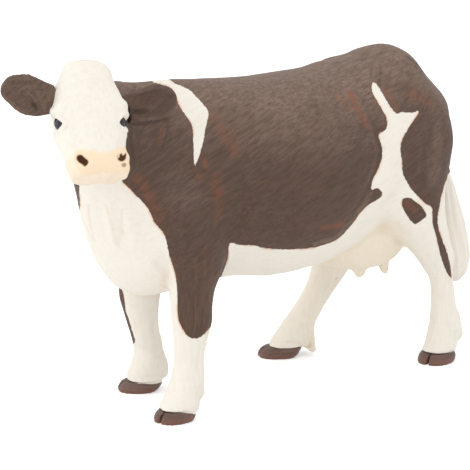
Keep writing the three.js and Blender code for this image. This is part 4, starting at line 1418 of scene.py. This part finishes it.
keep_normals(body, clay.normals)
udder = take_udder(body)
udder.name = "udder_skin"
torso = cut_from_body("torso_skin", (LEG_SEAM, UP), (NECK_SEAM, -NECK_AHEAD))
head = cut_from_body("head_skin", (NECK_SEAM, NECK_AHEAD))
shins = cut_from_body("shins", (LEG_SEAM, -UP))
legs = {}
for piece in loose_parts(shins):
    middle = (np.mean([corner[:] for corner in piece.bound_box], axis=0) - ORIGIN) / MM
    leg = next(leg for leg in LEGS if is_leg(middle[None], leg)[0])
    if leg in legs:
        raise ValueError(f"a second piece where the {leg} leg stands")
    legs[leg] = piece
    piece.name = f"{leg}_leg_skin"
for piece in [torso, head, udder, *legs.values()]:
    give_back_normals(piece)
    print(piece.name, "points:", len(piece.data.vertices))

# %% [markdown]
# ## Hooves
# These are modelled alone, as they were moulded: a copy of the solid, an even skin and some smoothing. They
# are drawn out a little and turn with their feet, the toe is lowered, the heel runs in towards the ground,
# and the soles stay flat. White paint of the hair comes down over the top of the horn.

# %% Hooves
HOOF_VOXEL = 0.2
HOOF_STRETCHES = {"front_left": 1.04, "front_right": 1.17, "hind_left": 1.02, "hind_right": 1.19}
HEEL_UNDERCUT = 1.0
TOE_HEIGHT = 2.2
TOE_CRUSHES = {"front_left": 0.4, "front_right": 0.75, "hind_left": 0.5, "hind_right": 0.75}
SOLE_ROUNDING = 0.35
TOP_ROUNDING = 0.5
HEEL_SHARE = (0.1, 1)
TOE_SHARE = (0.2, 0.75)
SOLE_SHARE = (0.7, 1)
TOP_SHARE = (0.45, 0)
HOOF_ROUNDS = 8
RAGGED_HEIGHT = 0.12
RAGGED_LENGTH = 0.9
PRESS_FROM = 0.3
PRESS_REACH = 2


def new_clay(node, name, voxel, rounds):
    piece = copy_of([node], name)
    remesh(piece, voxel)
    lump = Clay(piece)
    lump.relax(rounds)
    return lump


def press_in(lump, depth, margin):
    """Pushes the root of a piece into the body, so that no gap shows where it was glued in."""
    for k, point in enumerate(lump.points):
        found, normal, _, away = clay.skin().find_nearest(Vector(point))
        if found is None or away > margin + PRESS_REACH:
            continue
        height = (Vector(point) - found).dot(normal)
        share = 1 - float(smoothstep(PRESS_FROM, margin, height))
        lump.points[k] = point - np.array(normal) * depth * share
    lump.refresh()


def shape_hoof(points, leg):
    """Draws the hoof out, runs its heel in towards the ground and takes the edges off."""
    middle = foot_middles[leg][0]
    reach = np.abs(points - middle).max(axis=0)
    forward = (points[:, 0] - middle[0]) / reach[0]
    low = 1 - np.clip(points[:, 2] / CORONET, 0, 1)
    shaped = points.copy()
    shaped[:, 0] = middle[0] + (points[:, 0] - middle[0]) * HOOF_STRETCHES[leg]
    shaped[:, 0] += HEEL_UNDERCUT * low * smoothstep(*HEEL_SHARE, -forward)
    above = np.maximum(points[:, 2] - TOE_HEIGHT, 0)
    shaped[:, 2] -= above * TOE_CRUSHES[leg] * smoothstep(*TOE_SHARE, forward)
    outward = points[:, :2] - middle[:2]
    outward /= np.maximum(np.linalg.norm(outward, axis=1), LEAST_REACH)[:, None]
    edges = SOLE_ROUNDING * smoothstep(*SOLE_SHARE, low) + TOP_ROUNDING * smoothstep(*TOP_SHARE, low)
    shaped[:, :2] -= outward * edges[:, None]
    return shaped, forward


hooves = {}
for leg in LEGS:
    lump = new_clay(f"{leg}_hoof", f"{leg}_hoof_horn", HOOF_VOXEL, HOOF_ROUNDS)
    lump.points[:, 2] = np.maximum(lump.points[:, 2], 0)
    lump.points, forward = shape_hoof(lump.points, leg)
    hair_edge = np.interp(forward, HEEL_TO_TOE, HAIR_EDGES[leg])
    ragged = RAGGED_HEIGHT * noise_of(lump.points / RAGGED_LENGTH)
    lump.store("hair", lump.points[:, 2] - hair_edge + ragged)
    lump.points = turn_foot(lump.points, leg, foot_middles[leg])
    lump.refresh()
    # painted shade in the cleft and other hollows of the horn
    lump.store("hollow", hollows(lump, PIECE_HOLLOW_ROUNDS))
    hooves[leg] = lump.piece
    print(lump.piece.name, "points:", lump.count)

# %% [markdown]
# ## Ears
# The ears are leaves with a rolled rim. They stand out sideways and are turned forward, so that their hollow
# shows. The strokes are drawn over the photo again, this time on the ear's own skin.

# %% Ears
EAR_VOXEL = 0.25
EAR_ROUNDS = 6
EAR_PRESS = (0.8, 1.1)
ALL_BROWN = 2.0
EAR_STROKES = {
    "left": (
        (2.0, -0.5, [(128, 104), (140, 101), (154, 98), (164, 98)]),
        (0.9, 0.35, [(122, 95), (138, 92.5), (150, 89), (160, 87.5), (169, 90), (173, 97)]),
        (0.8, 0.3, [(130, 117), (142, 119), (154, 117.5), (165, 114)]),
        (1.0, -0.7, [(133, 111), (139, 111.5), (146, 111)]),
        (0.45, -0.14, [(158, 92), (166, 95), (172, 99)], sharp),
        (0.45, -0.14, [(158, 96), (165, 100), (171, 104)], sharp),
        (0.45, -0.14, [(157, 100), (163, 104), (168, 109)], sharp),
    ),
    "right": (
        (2.2, -0.45, [(10, 92), (20, 98), (30, 104)]),
        (0.6, 0.4, [(26, 91.5), (30, 94.6), (34, 98.6), (37, 103), (38, 107.4)]),
        (0.8, -0.35, [(31, 101), (34, 105), (35.5, 110)]),
        (0.9, 0.3, [(3, 86), (8, 79), (17, 77), (26, 79.5), (38, 84)]),
        (0.9, 0.3, [(3.5, 91), (8, 100), (16, 107), (24, 111), (33, 113)]),
    ),
}
EAR_PULLS = {
    "left": (),
    "right": (
        ((28, 106), 4.5, (0, 0, -1.2)),
        ((40, 106), 3.5, (0, 0, -0.9)),
        ((6, 90), 3.5, (0.2, -0.15, -0.3)),
    ),
}
EAR_SHADE = {"left": [(132, 111), (139, 112), (147, 111)], "right": [(34, 104), (35.5, 107), (36, 110)]}
EAR_SHADE_WIDTHS = {"left": 1, "right": 0.6}
# how much of the lighter brown of the painted highlight each ear takes
EAR_LIGHT = {"left": 0, "right": 0.35}

ears = {}
for side in ("left", "right"):
    lump = new_clay(f"{side}_ear", f"{side}_ear_skin", EAR_VOXEL, EAR_ROUNDS)
    press_in(lump, *EAR_PRESS)
    for pixel, radius, move in EAR_PULLS[side]:
        lump.pull(lump.place_at(pixel), radius, move)
    lump.refresh()
    lump.stroke(EAR_STROKES[side])
    shade = hollows(lump, PIECE_HOLLOW_ROUNDS)
    width = EAR_SHADE_WIDTHS[side]
    near, away, _, agree = lump.reach(lump.trace(EAR_SHADE[side]), width)
    shade[near] = np.maximum(shade[near], soft(away, width) * agree)
    lump.store("coat", np.full(lump.count, ALL_BROWN))
    lump.store("lie", np.zeros(lump.count))
    lump.store("hollow", shade)
    lump.store("top", np.full(lump.count, EAR_LIGHT[side]))
    ears[side] = lump.piece
    print(lump.piece.name, "points:", lump.count)

# %% [markdown]
# ## Tail
# The tail hangs from the rump with a brown dock and ends in a white switch of long hair, which is parted into
# locks by grooves that run down it, with painted shade in them.

# %% Tail
TAIL_VOXEL = 0.3
TAIL_ROUNDS = 12
TAIL_PRESS = (0.9, 1.2)
DOCK_BORDER = [(441, 182), (448, 174)]
SWITCH_LOCKS = 9
LOCK_DEPTH = 0.15
LOCK_SWING = 1.5
LOCK_WAVE = 4
SWITCH_FADE = 4
SWITCH_SHADE = 0.15

tail_lump = new_clay("tail", "tail_hair", TAIL_VOXEL, TAIL_ROUNDS)
press_in(tail_lump, *TAIL_PRESS)
pixels = pixels_of(tail_lump.points)
(x0, y0), (x1, y1) = DOCK_BORDER
border = y0 + (pixels[:, 0] - x0) * (y1 - y0) / (x1 - x0)
tail_coat = (border - pixels[:, 1]) / PIXELS_PER_MM
turn = np.arctan2(tail_lump.normals[:, 1], tail_lump.normals[:, 0])
wave = np.sin(SWITCH_LOCKS * turn + LOCK_SWING * np.sin(tail_lump.points[:, 2] / LOCK_WAVE))
on_switch = smoothstep(0, SWITCH_FADE, -tail_coat)
tail_lump.points += tail_lump.normals * (LOCK_DEPTH * wave * on_switch)[:, None]
tail_lump.refresh()
tail_lump.store("coat", tail_coat)
tail_lump.store("lie", np.ones(tail_lump.count))
# painted shade in the grooves between the locks of the switch
tail_lump.store("hollow", SWITCH_SHADE * hollows(tail_lump, PIECE_HOLLOW_ROUNDS))
tail = tail_lump.piece
print("tail points:", tail_lump.count)

# %% [markdown]
# ## Eyes
# Each eye is a ball behind the lids.

# %% Eyes
BALL_SPLITS = 5

eyes = {}
for name, side in (("left", 1), ("right", -1)):
    deselect()
    bpy.ops.mesh.primitive_ico_sphere_add(subdivisions=BALL_SPLITS, radius=EYE_RADIUS * MM)
    eye = bpy.context.object
    eye.name = f"{name}_eye_ball"
    eye.data.transform(Matrix.Translation(in_frame(from_head(*EYE_CENTRES[side]))))
    eye.data.shade_smooth()
    eyes[name] = eye
print("eyes:", [eye.name for eye in eyes.values()])

# %% [markdown]
# ## Mixing paint
# Paint is mixed from nodes that read the skin's own numbers and its place in millimetres, so it stays on the
# skin from every side. The helper below only plugs nodes together.

# %% Paint mixer
COLOURS = {
    # as mixed on a screen, 0 to 255
    "brown": (85, 66, 56),
    "brown_locks": (94, 74, 63),
    "brown_patches": (98, 70, 58),
    # painted highlight for brown that faces up
    "brown_painted_highlight": (134, 112, 98),
    # painted shade for brown in hollows
    "brown_painted_shade": (58, 45, 38),
    # painted highlight for brown ridges
    "brown_ridge_highlight": (122, 102, 90),
    "brown_streaks": (64, 49, 41),
    "rust": (138, 82, 54),
    "inner_fringe": (112, 62, 36),
    "white": (243, 237, 226),
    "white_locks": (228, 218, 202),
    "cream": (240, 220, 184),
    # painted shade for white in hollows
    "white_painted_shade": (212, 194, 168),
    "blush": (250, 224, 188),
    "outer_fringe": (214, 160, 104),
    "nostril": (78, 40, 20),
    "horn": (98, 78, 70),
    "horn_rings": (114, 92, 84),
    "horn_ground": (134, 92, 76),
    # painted shade for horn in hollows
    "horn_wash": (50, 34, 28),
    "eye": (36, 37, 43),
}
GRAIN_DETAIL = 2
BUMP_DEPTH = 0.1


def colour(name):
    """A colour of the list as the shader counts it, which is by light and not by steps of a screen."""
    parts = [c / 255 for c in COLOURS[name]]
    return (*[c / 12.92 if c <= 0.04045 else ((c + 0.055) / 1.055) ** 2.4 for c in parts], 1)


class Mixer:
    def __init__(self, name):
        self.material, self.nodes, self.links = new_material(name)
        self.places = self.nodes.new("ShaderNodeTexCoord").outputs["Object"]

    def plug(self, socket, value):
        if isinstance(value, bpy.types.NodeSocket):
            self.links.new(value, socket)
        else:
            socket.default_value = value

    def attribute(self, name):
        node = self.nodes.new("ShaderNodeAttribute")
        node.attribute_name = name
        return node.outputs["Fac"]

    def combine(self, operation, first, second):
        node = self.nodes.new("ShaderNodeMath")
        node.operation = operation
        self.plug(node.inputs[0], first)
        self.plug(node.inputs[1], second)
        return node.outputs[0]

    def span(self, value, low, high, start=0.0, end=1.0):
        """Runs smoothly from start to end while the value goes from low to high."""
        node = self.nodes.new("ShaderNodeMapRange")
        node.interpolation_type = "SMOOTHSTEP"
        for name, number in (("From Min", low), ("From Max", high), ("To Min", start), ("To Max", end)):
            node.inputs[name].default_value = number
        self.plug(node.inputs["Value"], value)
        return node.outputs["Result"]

    def blend(self, share, first, second):
        node = self.nodes.new("ShaderNodeMix")
        node.data_type = "RGBA"
        for name, value in (("Factor_Float", share), ("A_Color", first), ("B_Color", second)):
            socket = next(s for s in node.inputs if s.identifier == name)
            self.plug(socket, value)
        return next(s for s in node.outputs if s.identifier == "Result_Color")

    def pattern(self, sizes, slope=0.0, seed=0.0):
        """Noise, with its size in millimetres along x, y and z after a turn about y."""
        turned = self.nodes.new("ShaderNodeMapping")
        turned.inputs["Rotation"].default_value = (0, slope, 0)
        turned.inputs["Location"].default_value = (seed, seed, seed)
        self.links.new(self.places, turned.inputs["Vector"])
        scaled = self.nodes.new("ShaderNodeMapping")
        scaled.inputs["Scale"].default_value = [1 / (size * MM) for size in sizes]
        self.links.new(turned.outputs[0], scaled.inputs["Vector"])
        grain = self.nodes.new("ShaderNodeTexNoise")
        grain.inputs["Scale"].default_value = 1
        grain.inputs["Detail"].default_value = GRAIN_DETAIL
        self.links.new(scaled.outputs[0], grain.inputs["Vector"])
        return grain.outputs["Fac"]

    def hairs(self, lie, length, width):
        """Noise drawn out along the hair, which slopes on the trunk and hangs on legs and face."""
        sloping = self.pattern((length, width, width), -HAIR_SLOPE)
        return self.blend(lie, sloping, self.pattern((width, width, length)))

    def finish(self, paint, roughness, bump=None, strength=0.0, gloss=0.25):
        surface = self.nodes.new("ShaderNodeBsdfPrincipled")
        surface.inputs["Specular IOR Level"].default_value = gloss
        self.plug(surface.inputs["Base Color"], paint)
        self.plug(surface.inputs["Roughness"], roughness)
        if bump is not None:
            relief = self.nodes.new("ShaderNodeBump")
            relief.inputs["Strength"].default_value = strength
            relief.inputs["Distance"].default_value = BUMP_DEPTH * MM
            self.links.new(bump, relief.inputs["Height"])
            self.links.new(relief.outputs[0], surface.inputs["Normal"])
        self.links.new(surface.outputs[0], self.nodes.new("ShaderNodeOutputMaterial").inputs["Surface"])
        return self.material


print("colours mixed:", len(COLOURS))

# %% [markdown]
# ## The coat paint
# One paint covers every hairy piece. Fine streaks along the hair roughen the border between brown and white,
# painted shade darkens the hollows and a few shaded folds, and painted highlight lightens the ridges, the
# surfaces that face up, such as the back, and a few strokes on loin, barrel and thigh. The udder takes the
# same paint with more cream in it, so that the two run into each other.

# %% Coat paint
FINE_HAIR = (2.6, 0.4)
COARSE_HAIR = (6, 0.9)
PATCH_SIZE = 5
PATCH_SEED = 0.3
NOISE_MIDDLE = 0.5
BORDER_ROUGHNESS = 0.5
BLUSH_STRENGTH = 0.85
COAT_ROUGHNESS = 0.6
COAT_BUMP = 0.3


def coat_paint(name):
    mix = Mixer(name)
    lie = mix.attribute("lie")
    fine = mix.hairs(lie, *FINE_HAIR)
    hair = mix.hairs(lie, *COARSE_HAIR)
    patches = mix.pattern((PATCH_SIZE, PATCH_SIZE, PATCH_SIZE), seed=PATCH_SEED)
    hollow = mix.attribute("hollow")
    rough = mix.combine("MULTIPLY", mix.combine("SUBTRACT", fine, NOISE_MIDDLE), BORDER_ROUGHNESS)
    edge = mix.combine("ADD", mix.attribute("coat"), rough)

    brown = mix.blend(mix.span(hair, 0.35, 0.65), colour("brown"), colour("brown_locks"))
    brown = mix.blend(mix.span(patches, 0.45, 0.75, 0, 0.35), brown, colour("brown_patches"))
    # painted highlight: lighter brown where the skin faces up and along the highlight strokes
    back = mix.combine("MULTIPLY", mix.attribute("top"), mix.span(hair, 0.3, 0.7, 0.55, 1.0))
    brown = mix.blend(back, brown, colour("brown_painted_highlight"))
    # painted shade: darker brown in hollows and along the shade strokes
    brown = mix.blend(mix.span(hollow, 0.05, 0.8, 0, 0.6), brown, colour("brown_painted_shade"))
    # painted highlight: lighter brown on ridges
    brown = mix.blend(mix.span(hollow, -0.08, -0.7, 0, 0.4), brown, colour("brown_ridge_highlight"))
    brown = mix.blend(mix.span(fine, 0.56, 0.34, 0, 0.36), brown, colour("brown_streaks"))
    rust = mix.attribute("rust")
    rust_share = mix.combine("MULTIPLY", rust, mix.span(hair, 0.35, 0.65, 0.25, 0.8))
    brown = mix.blend(rust_share, brown, colour("rust"))
    inner_fringe = mix.combine("MULTIPLY", mix.span(edge, 0.55, 0.05, 0, 0.55), mix.span(patches, 0.42, 0.58))
    brown = mix.blend(inner_fringe, brown, colour("inner_fringe"))

    white = mix.blend(mix.span(hair, 0.3, 0.6, 0.22, 0), colour("white"), colour("white_locks"))
    white = mix.blend(mix.attribute("cream"), white, colour("cream"))
    # painted shade: darker white in hollows and along the shade strokes
    white = mix.blend(mix.span(hollow, 0.1, 0.9, 0, 0.6), white, colour("white_painted_shade"))
    blush = mix.combine("MULTIPLY", mix.attribute("blush"), BLUSH_STRENGTH)
    white = mix.blend(blush, white, colour("blush"))
    fringe_share = mix.combine("MAXIMUM", rust, mix.span(patches, 0.45, 0.6, 0, 0.5))
    outer_fringe = mix.combine("MULTIPLY", mix.span(edge, -0.55, -0.05, 0, 0.8), fringe_share)
    white = mix.blend(outer_fringe, white, colour("outer_fringe"))
    skin = mix.blend(mix.span(edge, -0.1, 0.1), white, brown)
    skin = mix.blend(mix.attribute("dark"), skin, colour("nostril"))
    return mix.finish(skin, COAT_ROUGHNESS, hair, COAT_BUMP)


hair_paint = coat_paint("coat_paint")
udder_paint = coat_paint("udder_paint")
print("coat paint nodes:", len(hair_paint.node_tree.nodes))

# %% [markdown]
# ## Horn and lacquer
# The hooves are reddish brown horn, redder towards the ground, with painted shade in the cleft, and the eyes
# are dark lacquer.

# %% Hoof and eye paint
RING_SIZES = (8, 8, 0.5)
GROUND_LEVELS = (2.2 * MM, 0.2 * MM)
HOOF_ROUGHNESS = 0.45
HOOF_BUMP = 0.2
EYE_ROUGHNESS = 0.1
EYE_GLOSS = 0.5

mix = Mixer("hoof_paint")
rings = mix.pattern(RING_SIZES)
height = mix.nodes.new("ShaderNodeSeparateXYZ")
mix.links.new(mix.places, height.inputs[0])
horn = mix.blend(mix.span(rings, 0.35, 0.65), colour("horn"), colour("horn_rings"))
horn = mix.blend(mix.span(height.outputs["Z"], *GROUND_LEVELS, 0, 0.6), horn, colour("horn_ground"))
# painted shade: darker horn in the cleft and other hollows
horn = mix.blend(mix.span(mix.attribute("hollow"), 0.05, 0.8, 0, 0.7), horn, colour("horn_wash"))
horn = mix.blend(mix.span(mix.attribute("hair"), -0.12, 0.12), horn, colour("white"))
hoof_paint = mix.finish(horn, HOOF_ROUGHNESS, rings, HOOF_BUMP)
eye_lacquer = Mixer("eye_lacquer").finish(colour("eye"), EYE_ROUGHNESS, gloss=EYE_GLOSS)
print("paints:", hoof_paint.name, eye_lacquer.name)

# %% [markdown]
# ## Putting the figure together
# Every piece is named after the solid it stands in for and gets its paint.

# %% Dress the frame
def dress(piece, node, paint):
    piece.data.materials.clear()
    piece.data.materials.append(paint)
    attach(piece, "root")
    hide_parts(node)


bpy.data.objects.remove(body)
dress(torso, "torso", hair_paint)
dress(head, "head", hair_paint)
for leg in LEGS:
    dress(legs[leg], f"{leg}_leg", hair_paint)
    dress(hooves[leg], f"{leg}_hoof", hoof_paint)
for side in ("left", "right"):
    dress(ears[side], f"{side}_ear", hair_paint)
    dress(eyes[side], f"{side}_eye", eye_lacquer)
dress(tail, "tail", hair_paint)
dress(udder, "udder", udder_paint)
